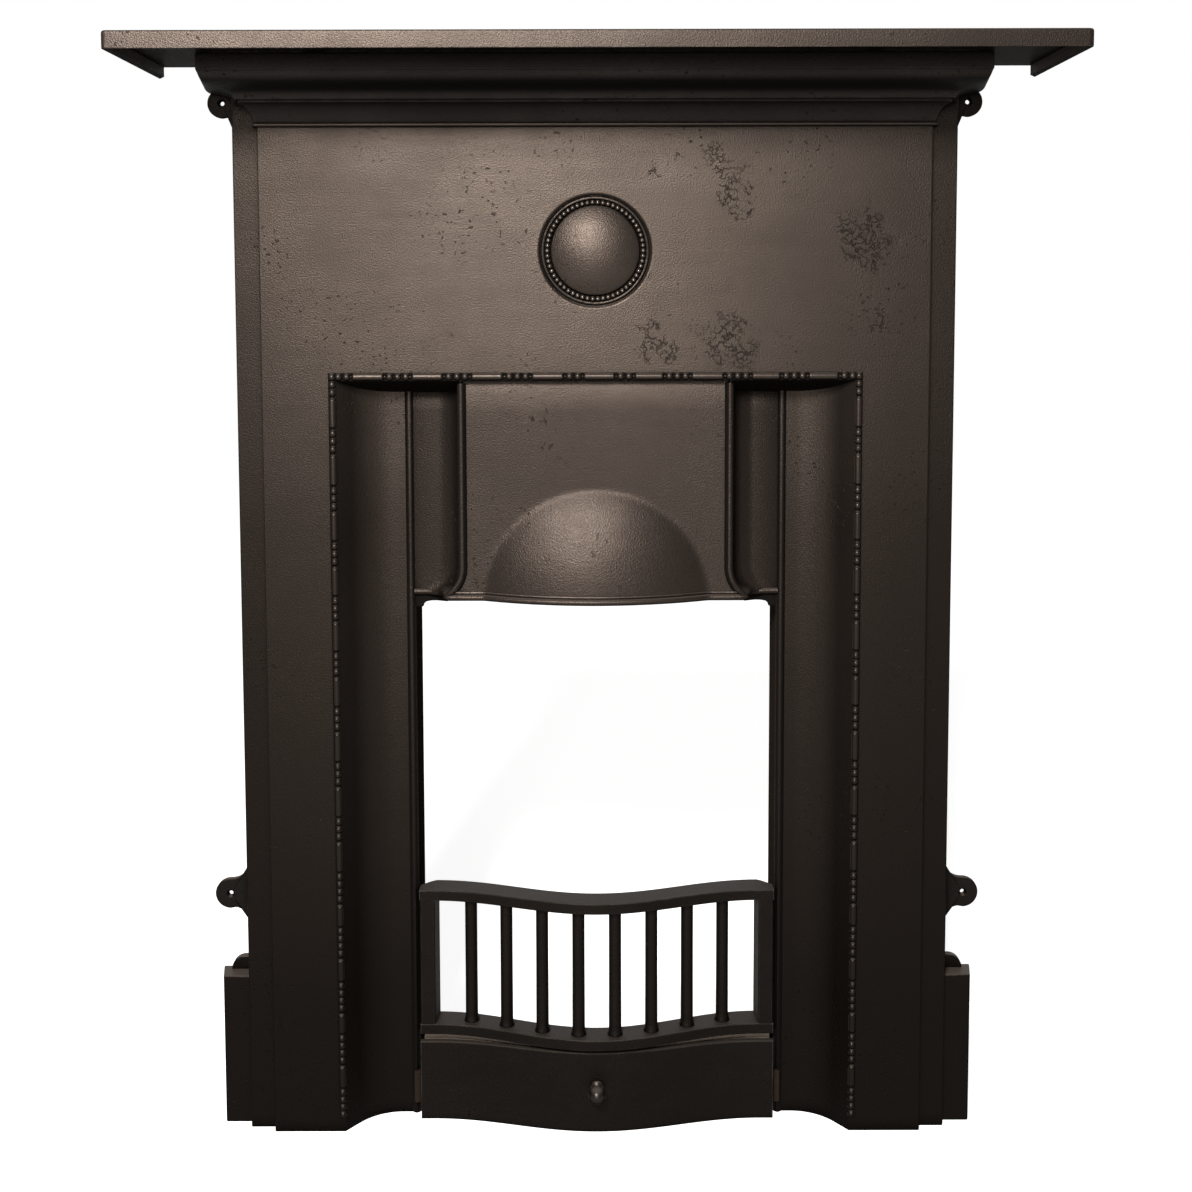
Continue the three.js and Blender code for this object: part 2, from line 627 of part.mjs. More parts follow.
// The raised rolls: two upright ones that end in a curve, and one along the bottom edge.
function hoodRolls() {
  const top = OPENING_TOP - FIT;
  const bottom = HOOD_BOTTOM + BEAD_RADIUS;
  const upright = [new THREE.Vector3(rollAt(top), HOOD_FACE, top)];
  const steps = 8;
  for (let i = 0; i <= steps; i++) {
    const z = HOOD_ROLL_TURN - (i / steps) * (HOOD_ROLL_TURN - bottom);
    upright.push(new THREE.Vector3(rollAt(z), HOOD_FACE, z));
  }
  const edge = hoodLine(HOOD_BOTTOM).map((p) => new THREE.Vector3(p.x, p.y, bottom));
  const inside = edge.filter((p) => Math.abs(p.x) <= rollAt(bottom));
  const flank = [
    new THREE.Vector3(HOOD_HALF - BEAD_RADIUS, COVE_DEPTH, bottom),
    new THREE.Vector3(rollAt(bottom) + 2 * HOOD_WALL, COVE_DEPTH, bottom),
  ];
  const smooth = (points) => new THREE.CatmullRomCurve3(points, false, "centripetal");
  return [
    ...pair(roll(smooth(upright), BEAD_RADIUS, 16)),
    roll(smooth(inside), BEAD_RADIUS, 24),
    ...pair(roll(new THREE.LineCurve3(...flank), BEAD_RADIUS, 1)),
  ];
}

function hood() {
  const { back, bottom, top } = HOOD_FLANGE;
  const flange = block(HOOD_HALF - HOOD_WALL, HOOD_HALF, COVE_DEPTH + HOOD_WALL / 2, back, bottom, top);
  const body = join(hoodShell(), ...hoodRolls(), ...pair(flange));
  return cut(body, ...HOOD_BOLTS.heights.map((z) => sideHole(HOOD_BOLTS.y, z)).flatMap(pair));
}

place("hood", hood(), IRON_HOOD);

// ================= Throat plate, damper flap and its pin =================

const PLATE_TOP = THROAT_HEIGHT + THROAT_PLATE;
const FLAP_HALF = THROAT.half + FLAP_LAP;
const FLAP_BOTTOM = PLATE_TOP + FIT;
const EAR_INNER = FLAP_HALF + FIT + 1;
const PIN_HOLE = PIN.radius + FIT;

function throatPlate() {
  const wide = HOOD_HALF;
  const clearOfCove = COVE_DEPTH + HOOD_WALL + 2;
  const plan = outline([
    [-HOOD_ROLL + 2 * HOOD_WALL, THROAT_FRONT],
    [HOOD_ROLL - 2 * HOOD_WALL, THROAT_FRONT],
    [HOOD_ROLL + HOOD_WALL, clearOfCove],
    [wide, clearOfCove],
    [wide, THROAT_BACK],
    [-wide, THROAT_BACK],
    [-wide, clearOfCove],
    [-HOOD_ROLL - HOOD_WALL, clearOfCove],
  ]);
  plan.holes.push(
    new THREE.Path([
      new THREE.Vector2(-THROAT.half, THROAT.front),
      new THREE.Vector2(-THROAT.half, THROAT.back),
      new THREE.Vector2(THROAT.half, THROAT.back),
      new THREE.Vector2(THROAT.half, THROAT.front),
    ]),
  );
  const { front, back, height } = THROAT_FLANGE;
  const flange = block(wide - THROAT_PLATE, wide, front, back, THROAT_HEIGHT + 1, THROAT_HEIGHT + height);
  const ear = new THREE.Shape();
  ear.moveTo(PIN.y - EAR.radius, PLATE_TOP - 1);
  ear.lineTo(THROAT_BACK, PLATE_TOP - 1);
  ear.lineTo(PIN.y + EAR.radius, PIN.z);
  ear.absarc(PIN.y, PIN.z, EAR.radius, 0, Math.PI, false);
  const ears = pair(run(ear, EAR_INNER, EAR_INNER + EAR.thickness));
  const body = join(raise(plan, THROAT_HEIGHT, PLATE_TOP), ...pair(flange), ...ears);
  const pinHole = barAlong("x", PIN_HOLE, -EAR_INNER - 2 * EAR.thickness, EAR_INNER + 2 * EAR.thickness, PIN.y, PIN.z);
  return cut(body, pinHole, ...pair(sideHole(THROAT_BOLT.y, THROAT_BOLT.z)));
}

function damperFlap() {
  const back = PIN.y - KNUCKLE.radius / 2;
  const plate = block(
    -FLAP_HALF,
    FLAP_HALF,
    THROAT.front - FLAP_LAP,
    THROAT.back + FLAP_LAP,
    FLAP_BOTTOM,
    FLAP_BOTTOM + FLAP_THICKNESS,
  );
  const outer = FLAP_HALF - KNUCKLE.inset;
  const inner = outer - KNUCKLE.length;
  const knuckle = barAlong("x", KNUCKLE.radius, inner, outer, PIN.y, PIN.z);
  const strap = block(inner, outer, THROAT.back, back, FLAP_BOTTOM + 1, FLAP_BOTTOM + FLAP_THICKNESS + 2);
  const tongue = block(
    -FLAP_LUG.half,
    FLAP_LUG.half,
    FLAP_LUG.y,
    FLAP_LUG.y + FLAP_LUG.depth,
    FLAP_BOTTOM - FLAP_LUG.drop,
    FLAP_BOTTOM + 1,
  );
  const body = join(plate, ...pair(strap), ...pair(knuckle), tongue);
  return cut(body, barAlong("x", PIN_HOLE, -FLAP_HALF, FLAP_HALF, PIN.y, PIN.z));
}

// The hinge pin: a plain rod with a head at its left end.
function damperPin() {
  const end = EAR_INNER + EAR.thickness;
  const shank = barAlong("x", PIN.radius, -end - FIT, end + 6, 0, 0);
  const head = barAlong("x", PIN.radius + 2.5, -end - FIT - 4, -end - FIT, 0, 0);
  return join(shank, head);
}

place("throat_plate", throatPlate(), IRON_BACK);
place("damper_flap", damperFlap(), IRON_BACK);
place("damper_pin", damperPin(), STEEL, 0, PIN.y, PIN.z);

// ================= Fire front =================

const frontCurve = (x) => bowed(x, FRONT_ENDS, FRONT_BOW);

// A rail that follows the bow: its section is a block with chamfered edges.
function bowedRail(half, setback, depth, bottom, top, curve) {
  const c = RAIL_EDGE;
  const section = [
    [setback + c, bottom],
    [setback + depth - c, bottom],
    [setback + depth, bottom + c],
    [setback + depth, top - c],
    [setback + depth - c, top],
    [setback + c, top],
    [setback, top - c],
    [setback, bottom + c],
  ];
  const loops = [];
  for (let i = 0; i <= BOW_STEPS; i++) {
    const x = half * ((2 * i) / BOW_STEPS - 1);
    loops.push(section.map(([y, z]) => new THREE.Vector3(x, curve(x) + y, z)));
  }
  return loft(loops, (p) => new THREE.Vector2(p.y, p.z));
}

function stile() {
  const inner = FRONT_HALF - STILE_WIDTH;
  const back = FRONT_ENDS + FRONT_DEPTH;
  const plan = outline([
    [inner, frontCurve(inner)],
    [FRONT_HALF, FRONT_ENDS],
    [FRONT_HALF, back],
    [inner - 2, back],
  ]);
  return raise(plan, FRONT_BOTTOM, FRONT_TOP);
}

// A round bar with a spread foot and head where it grows out of the rails.
function fireBar(x) {
  const bottom = FRONT_BOTTOM + RAIL_HEIGHT - 1;
  const top = FRONT_TOP - RAIL_HEIGHT + 1;
  const section = [
    [0, bottom],
    [BAR_FOOT.radius, bottom],
    [BAR_RADIUS, bottom + 1 + BAR_FOOT.height],
    [BAR_RADIUS, top],
    [0, top],
  ];
  const y = frontCurve(x) + FRONT_DEPTH / 2;
  return revolve(section, BAR_SIDES).rotateX(Math.PI / 2).translate(x, y, 0);
}

// The hook behind each end of the fire front, which drops over a catch on the front casting.
function hook() {
  const start = FRONT_ENDS + FRONT_DEPTH - 1;
  const inside = CATCH_FRONT + CATCH.thickness + FIT;
  const side = outline([
    [start, HOOK.top - HOOK.arm],
    [inside, HOOK.top - HOOK.arm],
    [inside, HOOK.top - HOOK.drop],
    [inside + HOOK.wall, HOOK.top - HOOK.drop],
    [inside + HOOK.wall, HOOK.top - HOOK.wall / 2],
    [inside + HOOK.wall / 2, HOOK.top],
    [start, HOOK.top],
  ]);
  return run(side, HOOK.inner, HOOK.outer);
}

function fireFront() {
  const rails = [
    [FRONT_TOP - RAIL_HEIGHT, FRONT_TOP],
    [FRONT_BOTTOM, FRONT_BOTTOM + RAIL_HEIGHT],
  ].map(([low, high]) => bowedRail(FRONT_HALF, 0, FRONT_DEPTH, low, high, frontCurve));
  const ribTop = FRONT_BOTTOM + RAIL_EDGE + 1;
  const rib = bowedRail(
    FRONT_HALF - RIB.inset,
    RIB.setback,
    RIB.thickness,
    FRONT_BOTTOM - RIB.depth,
    ribTop,
    frontCurve,
  );
  const bars = [];
  for (let i = 0; i < BARS; i++) bars.push(fireBar((i - (BARS - 1) / 2) * BAR_PITCH));
  const back = FRONT_ENDS + FRONT_DEPTH;
  const corner = raise(
    outline([
      [FRONT_HALF + 1, back - BACK_CORNER - 1],
      [FRONT_HALF + 1, back + 1],
      [FRONT_HALF - BACK_CORNER - 1, back + 1],
    ]),
    0,
    HEIGHT,
  );
  const frame = cut(join(...rails, ...pair(stile())), ...pair(corner));
  return frame.add(join(rib, ...bars, ...pair(hook())));
}

place("fire_front", fireFront(), IRON_FIRE);

// ================= Ash pan cover and its knob =================

const coverCurve = (x) => bowed(x, COVER_ENDS, COVER_BOW);

function ashpanCover() {
  const line = [];
  for (let i = 0; i <= BOW_STEPS; i++) {
    const x = COVER_HALF * ((2 * i) / BOW_STEPS - 1);
    line.push(new THREE.Vector2(x, coverCurve(x)));
  }
  const backLine = line.map((p) => new THREE.Vector2(p.x, p.y + COVER_WALL)).reverse();
  const plate = raise(new THREE.Shape([...line, ...backLine]), 0, COVER_TOP);
  const start = coverCurve(COVER_FOOT.x) + COVER_WALL / 2;
  const end = start + COVER_FOOT.reach;
  const foot = run(
    outline([
      [start, 0],
      [end, 0],
      [end, COVER_WALL / 2],
      [start, COVER_FOOT.height],
    ]),
    COVER_FOOT.x - COVER_FOOT.half,
    COVER_FOOT.x + COVER_FOOT.half,
  );
  const hole = barAlong("y", KNOB_STUD.radius + FIT, -WALL_PLANE, WALL_PLANE, 0, KNOB_HEIGHT);
  return cut(join(plate, ...pair(foot)), hole);
}

// The knob: a ball on a short neck with a collar, and a stud behind that takes a nut.
function knob() {
  const neckTop = KNOB_COLLAR.thickness + KNOB_NECK.length;
  const ballCentre = neckTop + Math.sqrt(KNOB_RADIUS ** 2 - KNOB_NECK.radius ** 2);
  const section = [
    [0, -KNOB_STUD.length],
    [KNOB_STUD.radius, -KNOB_STUD.length],
    [KNOB_STUD.radius, 0],
    [KNOB_COLLAR.radius, 0],
    [KNOB_COLLAR.radius, KNOB_COLLAR.thickness / 2],
    [KNOB_NECK.radius, KNOB_COLLAR.thickness],
  ];
  const start = -Math.acos(KNOB_NECK.radius / KNOB_RADIUS);
  const steps = 9;
  for (let i = 0; i <= steps; i++) {
    const t = start + (i / steps) * (Math.PI / 2 - start);
    const r = i < steps ? KNOB_RADIUS * Math.cos(t) : 0;
    section.push([r, ballCentre + KNOB_RADIUS * Math.sin(t)]);
  }
  return revolve(section, ROUND_SIDES).rotateX(Math.PI);
}

// ================= Fasteners =================

// A hexagon bolt along z: its head lies below the origin and its shank rises above it.
function bolt(length) {
  const head = rod(BOLT.head, BOLT.headHeight, 6).translate(0, 0, -BOLT.headHeight);
  return join(head, rod(BOLT.radius, length).translate(0, 0, -1));
}

// A hexagon nut along z, standing on the origin.
function nut(radius, hole, height) {
  return cut(solid(rod(radius, height, 6)), rod(hole, 3 * height).translate(0, 0, -height));
}

place("ashpan_cover", ashpanCover(), IRON_FIRE);
place("knob", knob(), IRON_FIRE, 0, coverCurve(0) - FIT, KNOB_HEIGHT);
const knobNut = nut(2 * KNOB_STUD.radius, KNOB_STUD.radius + FIT, 2 * KNOB_STUD.radius);
const knobNutY = coverCurve(0) + COVER_WALL + FIT;
place("knob_nut", knobNut, STEEL, 0, knobNutY, KNOB_HEIGHT).rotation.x = -Math.PI / 2;

for (const [side, sign] of [["left", -1], ["right", 1]]) {
  const lugBottom = SHELF_LUG.top - SHELF_LUG.thickness;
  const shelfGrip = HEIGHT - SHELF_THICKNESS - 2 - lugBottom;
  place(`shelf_bolt_${side}`, bolt(shelfGrip), STEEL, sign * SHELF_BOSS.x, SHELF_BOSS.y, lugBottom - FIT);

  // Bolts from the hollow of the jamb through the return and a flange, with the nut on the fire side.
  const headX = RETURN_HALF + IRON + FIT;
  const sideBolt = (label, y, z, flange) => {
    const nutX = HOOD_HALF - flange - FIT;
    const length = headX - nutX + BOLT.nutHeight + 4;
    place(`${label}_bolt_${side}`, bolt(length), STEEL, sign * headX, y, z).rotation.y = (-sign * Math.PI) / 2;
    const ring = nut(BOLT.head, BOLT_HOLE, BOLT.nutHeight);
    place(`${label}_nut_${side}`, ring, STEEL, sign * nutX, y, z).rotation.y = (-sign * Math.PI) / 2;
  };
  HOOD_BOLTS.heights.forEach((z, i) => {
    sideBolt(`hood_${["lower", "upper"][i]}`, HOOD_BOLTS.y, z, HOOD_WALL);
  });
  sideBolt("throat", THROAT_BOLT.y, THROAT_BOLT.z, THROAT_PLATE);
}

// The part's own origin is the middle of its footprint on the floor.
fireplace.position.y = -(SHELF_FRONT + RETURN_BACK) / 2;

export default fireplace;
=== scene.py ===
# %% [markdown]
# # A cast iron bedroom fireplace
#
# The real object is a handful of iron castings. One large front casting stands on the floor against
# the wall. A shelf is screwed on top of it and a hood is bolted into its opening. A bowed grate hooks
# onto it, and a loose cover hides the ash pan. This file dresses those castings one by one: each
# cell makes one form, and the cell before it says why it is made that way.
#
# We start with the solids that were drawn for this object. They fix every size and every joint.

# %% Load the frame
import math

import bmesh
import bpy
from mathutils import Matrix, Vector


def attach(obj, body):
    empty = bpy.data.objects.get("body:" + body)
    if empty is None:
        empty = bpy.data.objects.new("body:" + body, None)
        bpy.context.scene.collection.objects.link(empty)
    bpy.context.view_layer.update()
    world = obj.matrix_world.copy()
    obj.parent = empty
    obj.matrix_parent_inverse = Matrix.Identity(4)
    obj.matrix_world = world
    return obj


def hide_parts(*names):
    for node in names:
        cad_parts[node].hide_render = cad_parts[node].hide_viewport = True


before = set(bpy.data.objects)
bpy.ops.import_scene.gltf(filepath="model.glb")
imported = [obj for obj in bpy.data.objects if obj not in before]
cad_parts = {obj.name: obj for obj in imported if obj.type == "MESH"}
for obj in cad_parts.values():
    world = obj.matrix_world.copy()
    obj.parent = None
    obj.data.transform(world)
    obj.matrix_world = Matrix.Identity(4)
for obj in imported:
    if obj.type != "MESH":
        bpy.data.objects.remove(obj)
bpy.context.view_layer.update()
print("solids:", len(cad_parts))

# %% [markdown]
# Iron founders worked in inches, but millimetres are easier to read here. All places below are in
# millimetres from the face of the flat front panel, because nearly every part is set forward or back
# from that face. One small function turns such a place into metres in the shared frame.

# %% Millimetres to the shared frame
MM = 0.001
PANEL_FACE = 10.5  # the panel's face lies this far behind the frame's origin


def at(x, y, z):
    return Vector((x * MM, (y + PANEL_FACE) * MM, z * MM))


# %% [markdown]
# ## The camera
#
# The camera comes first, so that every later piece can be judged against the photograph. Its height
# and tilt were found from the object itself: edges that are vertical on the iron lean a little
# towards each other in the picture, and lines along the floor and the shelf tell where the eye was.
# A lens shift keeps the frame where the picture has it without changing the perspective. The
# picture's level lines slope by a hair, so the camera is rolled by a hair too.

# %% Camera
CAMERA_PLACE = Vector((0.0, -1.2895, 0.7512))
CAMERA_TILT = math.radians(-4.2267)
CAMERA_ROLL = math.radians(0.13)
SENSOR_WIDTH = 36.0
LENS = 44.87  # the width of the sensor and the lens are in millimetres
SHIFT_ASIDE = 0.0006
SHIFT_UP = -0.1537

camera_data = bpy.data.cameras.new("camera")
camera_data.sensor_width = SENSOR_WIDTH
camera_data.lens = LENS
camera_data.shift_x = SHIFT_ASIDE
camera_data.shift_y = SHIFT_UP
camera = bpy.data.objects.new("camera", camera_data)
camera.location = CAMERA_PLACE
camera.rotation_euler = (math.pi / 2 + CAMERA_TILT, CAMERA_ROLL, 0.0)
bpy.context.scene.collection.objects.link(camera)
bpy.context.scene.camera = camera
print("camera:", tuple(round(v, 3) for v in camera.location))

# %% [markdown]
# ## The studio
#
# Polished iron is read through the light that it returns, so the studio matters more than for a
# painted thing. The world comes first. It is white for the camera and for reflections, so that the
# picture has a white ground and bright metal has something to mirror. For all other light it is dim,
# because a bright world would fill every hollow and the relief would be lost.

# %% World
DIM_WORLD = 0.16

scene = bpy.context.scene
scene.view_settings.view_transform = "Standard"


def white_to_the_eye(tree, dim, full=1.0):
    """Full strength for rays from the camera or a reflection, and a dim one for the rest."""
    path = tree.nodes.new("ShaderNodeLightPath")
    seen = tree.nodes.new("ShaderNodeMath")
    seen.operation = "MAXIMUM"
    tree.links.new(path.outputs["Is Camera Ray"], seen.inputs[0])
    tree.links.new(path.outputs["Is Glossy Ray"], seen.inputs[1])
    through = tree.nodes.new("ShaderNodeMath")
    through.operation = "MAXIMUM"
    tree.links.new(seen.outputs[0], through.inputs[0])
    tree.links.new(path.outputs["Is Transmission Ray"], through.inputs[1])
    strength = tree.nodes.new("ShaderNodeMapRange")
    tree.links.new(through.outputs[0], strength.inputs["Value"])
    strength.inputs["To Min"].default_value = dim
    strength.inputs["To Max"].default_value = full
    return strength.outputs["Result"]


world = bpy.data.worlds.new("studio")
scene.world = world
world.use_nodes = True
background = world.node_tree.nodes["Background"]
background.inputs["Color"].default_value = (1.0, 1.0, 1.0, 1.0)
world.node_tree.links.new(white_to_the_eye(world.node_tree, DIM_WORLD), background.inputs["Strength"])
print("world:", world.name, "at", DIM_WORLD, "for the light that falls on things")

# %% [markdown]
# Two lamps do the rest. The key lamp, high on the left, makes the bright spots on the two domes and
# leaves the sloping underside of the opening dark. A smaller lamp stands just beside the eye, so that
# the flat frieze mirrors it as a broad sheen. Lower down, the iron turns that light away and goes
# dark, as in the photograph. Both are broad, because a small lamp would draw hard shadows.

# %% Lamps
KEY_LAMP = {"place": (-0.46, -2.1, 1.95), "target": (-0.05, 0.0, 0.72), "size": 0.50, "watts": 250}
SHEEN_LAMP = {"place": (-0.30, -2.5, 1.02), "target": (-0.05, 0.0, 0.80), "size": 0.40, "watts": 43}


def lamp(name, place, target, size, watts):
    """A square lamp that looks at a target."""
    data = bpy.data.lights.new(name, "AREA")
    data.shape = "RECTANGLE"
    data.size = size
    data.size_y = size
    data.energy = watts
    light = bpy.data.objects.new(name, data)
    light.location = place
    light.rotation_euler = (Vector(target) - Vector(place)).to_track_quat("-Z", "Y").to_euler()
    scene.collection.objects.link(light)
    return light


lamp("key", **KEY_LAMP)
lamp("sheen", **SHEEN_LAMP)

# %% [markdown]
# The floor is a plain pale sheet. A share of white that only the camera and reflections see, with
# the light of the lamps on top, makes it run into the background without a horizon. Where the iron
# keeps the lamps away only that share is left, and this is the soft shadow at its foot.

# %% Floor
FLOOR_HALF = 6.0
FLOOR_TONE = (0.42, 0.415, 0.41, 1.0)
FLOOR_WHITE = 0.86  # the share of white that only the camera and reflections see

floor_corners = [(x * FLOOR_HALF, y * FLOOR_HALF, 0) for x, y in ((-1, -1), (1, -1), (1, 1), (-1, 1))]
floor_mesh = bpy.data.meshes.new("floor")
floor_mesh.from_pydata(floor_corners, [], [(0, 1, 2, 3)])
floor = bpy.data.objects.new("floor", floor_mesh)
scene.collection.objects.link(floor)
pale = bpy.data.materials.new("pale_floor")
pale.use_nodes = True
paint = pale.node_tree.nodes["Principled BSDF"]
paint.inputs["Base Color"].default_value = FLOOR_TONE
paint.inputs["Roughness"].default_value = 0.9
paint.inputs["Emission Color"].default_value = (1.0, 1.0, 1.0, 1.0)
glow = white_to_the_eye(pale.node_tree, 0.0, FLOOR_WHITE)
pale.node_tree.links.new(glow, paint.inputs["Emission Strength"])
floor_mesh.materials.append(pale)
print("floor:", 2 * FLOOR_HALF, "m square")

# %% [markdown]
# ## The iron
#
# Grate polish on cast iron is a thin film of graphite: nearly black, a little brown, with a soft
# metallic sheen. The sand of the mould leaves a fine grain, a few pits and rough patches, and the
# brush never reaches every hollow, so the tone drifts from place to place. Proud edges are rubbed
# paler. A picture wrapped round the castings could show this too, but it would stretch and have
# seams. Here it is all worked out from the place on the iron, so the grain runs on across every
# joint. A few small helpers keep the recipe readable: each adds one node and hands back its output.

# %% Small helpers for materials


def add(tree, kind, **settings):
    node = tree.nodes.new(kind)
    for key, value in settings.items():
        setattr(node, key, value)
    return node


def noise(tree, place, scale, detail=3.0, roughness=0.55):
    node = add(tree, "ShaderNodeTexNoise")
    node.inputs["Scale"].default_value = scale
    node.inputs["Detail"].default_value = detail
    node.inputs["Roughness"].default_value = roughness
    tree.links.new(place, node.inputs["Vector"])
    return node.outputs["Fac"]


def span(tree, value, low, high, to_low=0.0, to_high=1.0):
    """Stretches the part of a value between low and high, and clamps the rest."""
    node = add(tree, "ShaderNodeMapRange", clamp=True)
    tree.links.new(value, node.inputs["Value"])
    node.inputs["From Min"].default_value = low
    node.inputs["From Max"].default_value = high
    node.inputs["To Min"].default_value = to_low
    node.inputs["To Max"].default_value = to_high
    return node.outputs["Result"]


def maths(tree, operation, a, b=None):
    node = add(tree, "ShaderNodeMath", operation=operation)
    for socket, value in zip(node.inputs, (a, b)):
        if value is None:
            continue
        if isinstance(value, (int, float)):
            socket.default_value = value
        else:
            tree.links.new(value, socket)
    return node.outputs[0]


def blend(tree, share, a, b):
    """Mixes two colours, or a colour socket and a colour."""
    node = add(tree, "ShaderNodeMix", data_type="RGBA")
    tree.links.new(share, node.inputs["Factor"])
    for socket, value in ((node.inputs[6], a), (node.inputs[7], b)):
        if isinstance(value, tuple):
            socket.default_value = (*value, 1.0)
        else:
            tree.links.new(value, socket)
    return node.outputs[2]


def cover(tree, colour, where, strength, other):
    """Lays another colour over this one in the places given."""
    return blend(tree, maths(tree, "MULTIPLY", where, strength), colour, other)


def darker(tone, share):
    return tuple(share * c for c in tone)


def bump(tree, height, distance, strength, below=None):
    node = add(tree, "ShaderNodeBump")
    node.inputs["Distance"].default_value = distance
    node.inputs["Strength"].default_value = strength
    tree.links.new(height, node.inputs["Height"])
    if below is not None:
        tree.links.new(below, node.inputs["Normal"])
    return node.outputs["Normal"]


print("helpers for materials: 8")

# %% [markdown]
# Where the skin of the mould broke, the iron carries a rough scab with fine creases. The frieze has
# a few of them, mostly to the right of the boss. They are listed by place and size. A noise shifts
# the place that each point of the surface is measured from, and this makes the round patches
# ragged. The creases are the thin lines where a second noise crosses its own middle.

# %% Scabs
# Each scab is listed by its x, its height and its radius, in metres.
SCABS = [
    (0.116, 0.872, 0.022),
    (0.124, 0.836, 0.020),
    (0.235, 0.803, 0.030),
    (0.050, 0.868, 0.012),
    (0.060, 0.716, 0.020),
    (0.118, 0.718, 0.026),
    (0.240, 0.735, 0.014),
    (0.046, 0.778, 0.008),
]
STRAY = 0.035


def scab_places(tree, place):
    """One where the casting has a rough scab, fading to zero along a ragged border."""
    ragged = add(tree, "ShaderNodeTexNoise")
    ragged.inputs["Scale"].default_value = 55.0
    ragged.inputs["Detail"].default_value = 3.0
    tree.links.new(place, ragged.inputs["Vector"])
    strayed = add(tree, "ShaderNodeMapRange", data_type="FLOAT_VECTOR")
    tree.links.new(ragged.outputs["Color"], strayed.inputs["Vector"])
    strayed.inputs[9].default_value = (-STRAY, -STRAY, -STRAY)
    strayed.inputs[10].default_value = (STRAY, STRAY, STRAY)
    moved = add(tree, "ShaderNodeVectorMath", operation="ADD")
    tree.links.new(place, moved.inputs[0])
    tree.links.new(strayed.outputs["Vector"], moved.inputs[1])
    total = None
    for x, z, radius in SCABS:
        away = add(tree, "ShaderNodeVectorMath", operation="DISTANCE")
        tree.links.new(moved.outputs[0], away.inputs[0])
        away.inputs[1].default_value = (x, PANEL_FACE * MM, z)
        near = span(tree, away.outputs["Value"], 0.3 * radius, radius, 1.0, 0.0)
        total = near if total is None else maths(tree, "MAXIMUM", total, near)
    return total


def crease_places(tree, place):
    """One in the fine creases of the scabs."""
    middle_line = maths(tree, "SUBTRACT", noise(tree, place, 165.0, 3.0, 0.6), 0.5)
    wrinkle = maths(tree, "ABSOLUTE", middle_line)
    return maths(tree, "MULTIPLY", span(tree, wrinkle, 0.040, 0.0), scab_places(tree, place))


print("scabs:", len(SCABS))

# %% [markdown]
# Polish goes on with a brush and never lies evenly. Three noises make up its thickness: a slow
# drift, a finer cloud, and one that is stretched sideways like the strokes of the brush. Pits are
# rarer: a fine noise with hard limits makes them, and a slow one says in which places they lie.

# %% Polish and pits


def polish_thickness(tree, place):
    """One where the polish lies well, and zero where it is thin."""
    drift = span(tree, noise(tree, place, 4.5, 2.0), 0.35, 0.65)
    cloud = span(tree, noise(tree, place, 30.0, 4.0, 0.6), 0.36, 0.66)
    stretched = add(tree, "ShaderNodeMapping")
    stretched.inputs["Scale"].default_value = (14.0, 60.0, 150.0)
    tree.links.new(place, stretched.inputs["Vector"])
    stroke = span(tree, noise(tree, stretched.outputs["Vector"], 1.0, 3.0), 0.35, 0.65)
    even = maths(tree, "ADD", maths(tree, "MULTIPLY", drift, 0.5), maths(tree, "MULTIPLY", cloud, 0.3))
    return maths(tree, "ADD", even, maths(tree, "MULTIPLY", stroke, 0.2))


def pit_places(tree, place):
    """One in the small pits."""
    where = span(tree, noise(tree, place, 9.0, 1.0), 0.50, 0.64)
    spots = span(tree, noise(tree, place, 260.0, 2.0, 0.5), 0.665, 0.71)
    return maths(tree, "MULTIPLY", where, spots)


print("polish and pits: 5 noises")

# %% [markdown]
# Hands and dusters rub proud edges bare, and the hollows beside rolls and beads get painted shade. The
# mesh could be searched for such places, but its faces are too few for a smooth border. The Bevel
# node finds edges better: it gives the direction that a rounded-off copy of the surface would have,
# and where that differs from the real one, there is an edge. The Ambient Occlusion node finds the
# hollows, by how much of the open air a point can see within a few millimetres, and the colour is
# darkened there as painted shade.

# %% Edges and hollows
EDGE_REACH = 0.0013
HOLLOW_REACH = 0.0065


def rubbed_places(tree, place, face):
    """One on the proud edges, in patches."""
    rounding = add(tree, "ShaderNodeBevel", samples=4)
    rounding.inputs["Radius"].default_value = EDGE_REACH
    agree = add(tree, "ShaderNodeVectorMath", operation="DOT_PRODUCT")
    tree.links.new(rounding.outputs["Normal"], agree.inputs[0])
    tree.links.new(face.outputs["Normal"], agree.inputs[1])
    edge = span(tree, agree.outputs["Value"], 0.99, 0.93)
    patches = span(tree, noise(tree, place, 60.0, 3.0), 0.38, 0.60, 0.2, 1.0)
    return maths(tree, "MULTIPLY", edge, patches)


def painted_shade_in_hollows(tree):
    """One in the hollows, where the colour is darkened as painted shade."""
    hollow = add(tree, "ShaderNodeAmbientOcclusion")
    hollow.samples = 6
    hollow.inputs["Distance"].default_value = HOLLOW_REACH
    return span(tree, hollow.outputs["AO"], 0.88, 0.40)


print("edges and hollows: within", EDGE_REACH, "and", HOLLOW_REACH, "m")

# %% [markdown]
# The front is brightest in the middle of the frieze. Away from there the colour is darkened as
# painted shade: towards the ends of a face, on the strips beside the wall, and down the legs. A fade
# says where the colour is lightest, how far it stays so, where it is darkest and by how much. It only
# works on faces that look forward, so it leaves the relief alone.

# %% Fades of painted shade
FOOT_SHARE = 0.95
STRIP_EDGE = (0.2925, 0.2945)  # where the strips beside the wall begin, in metres from the middle


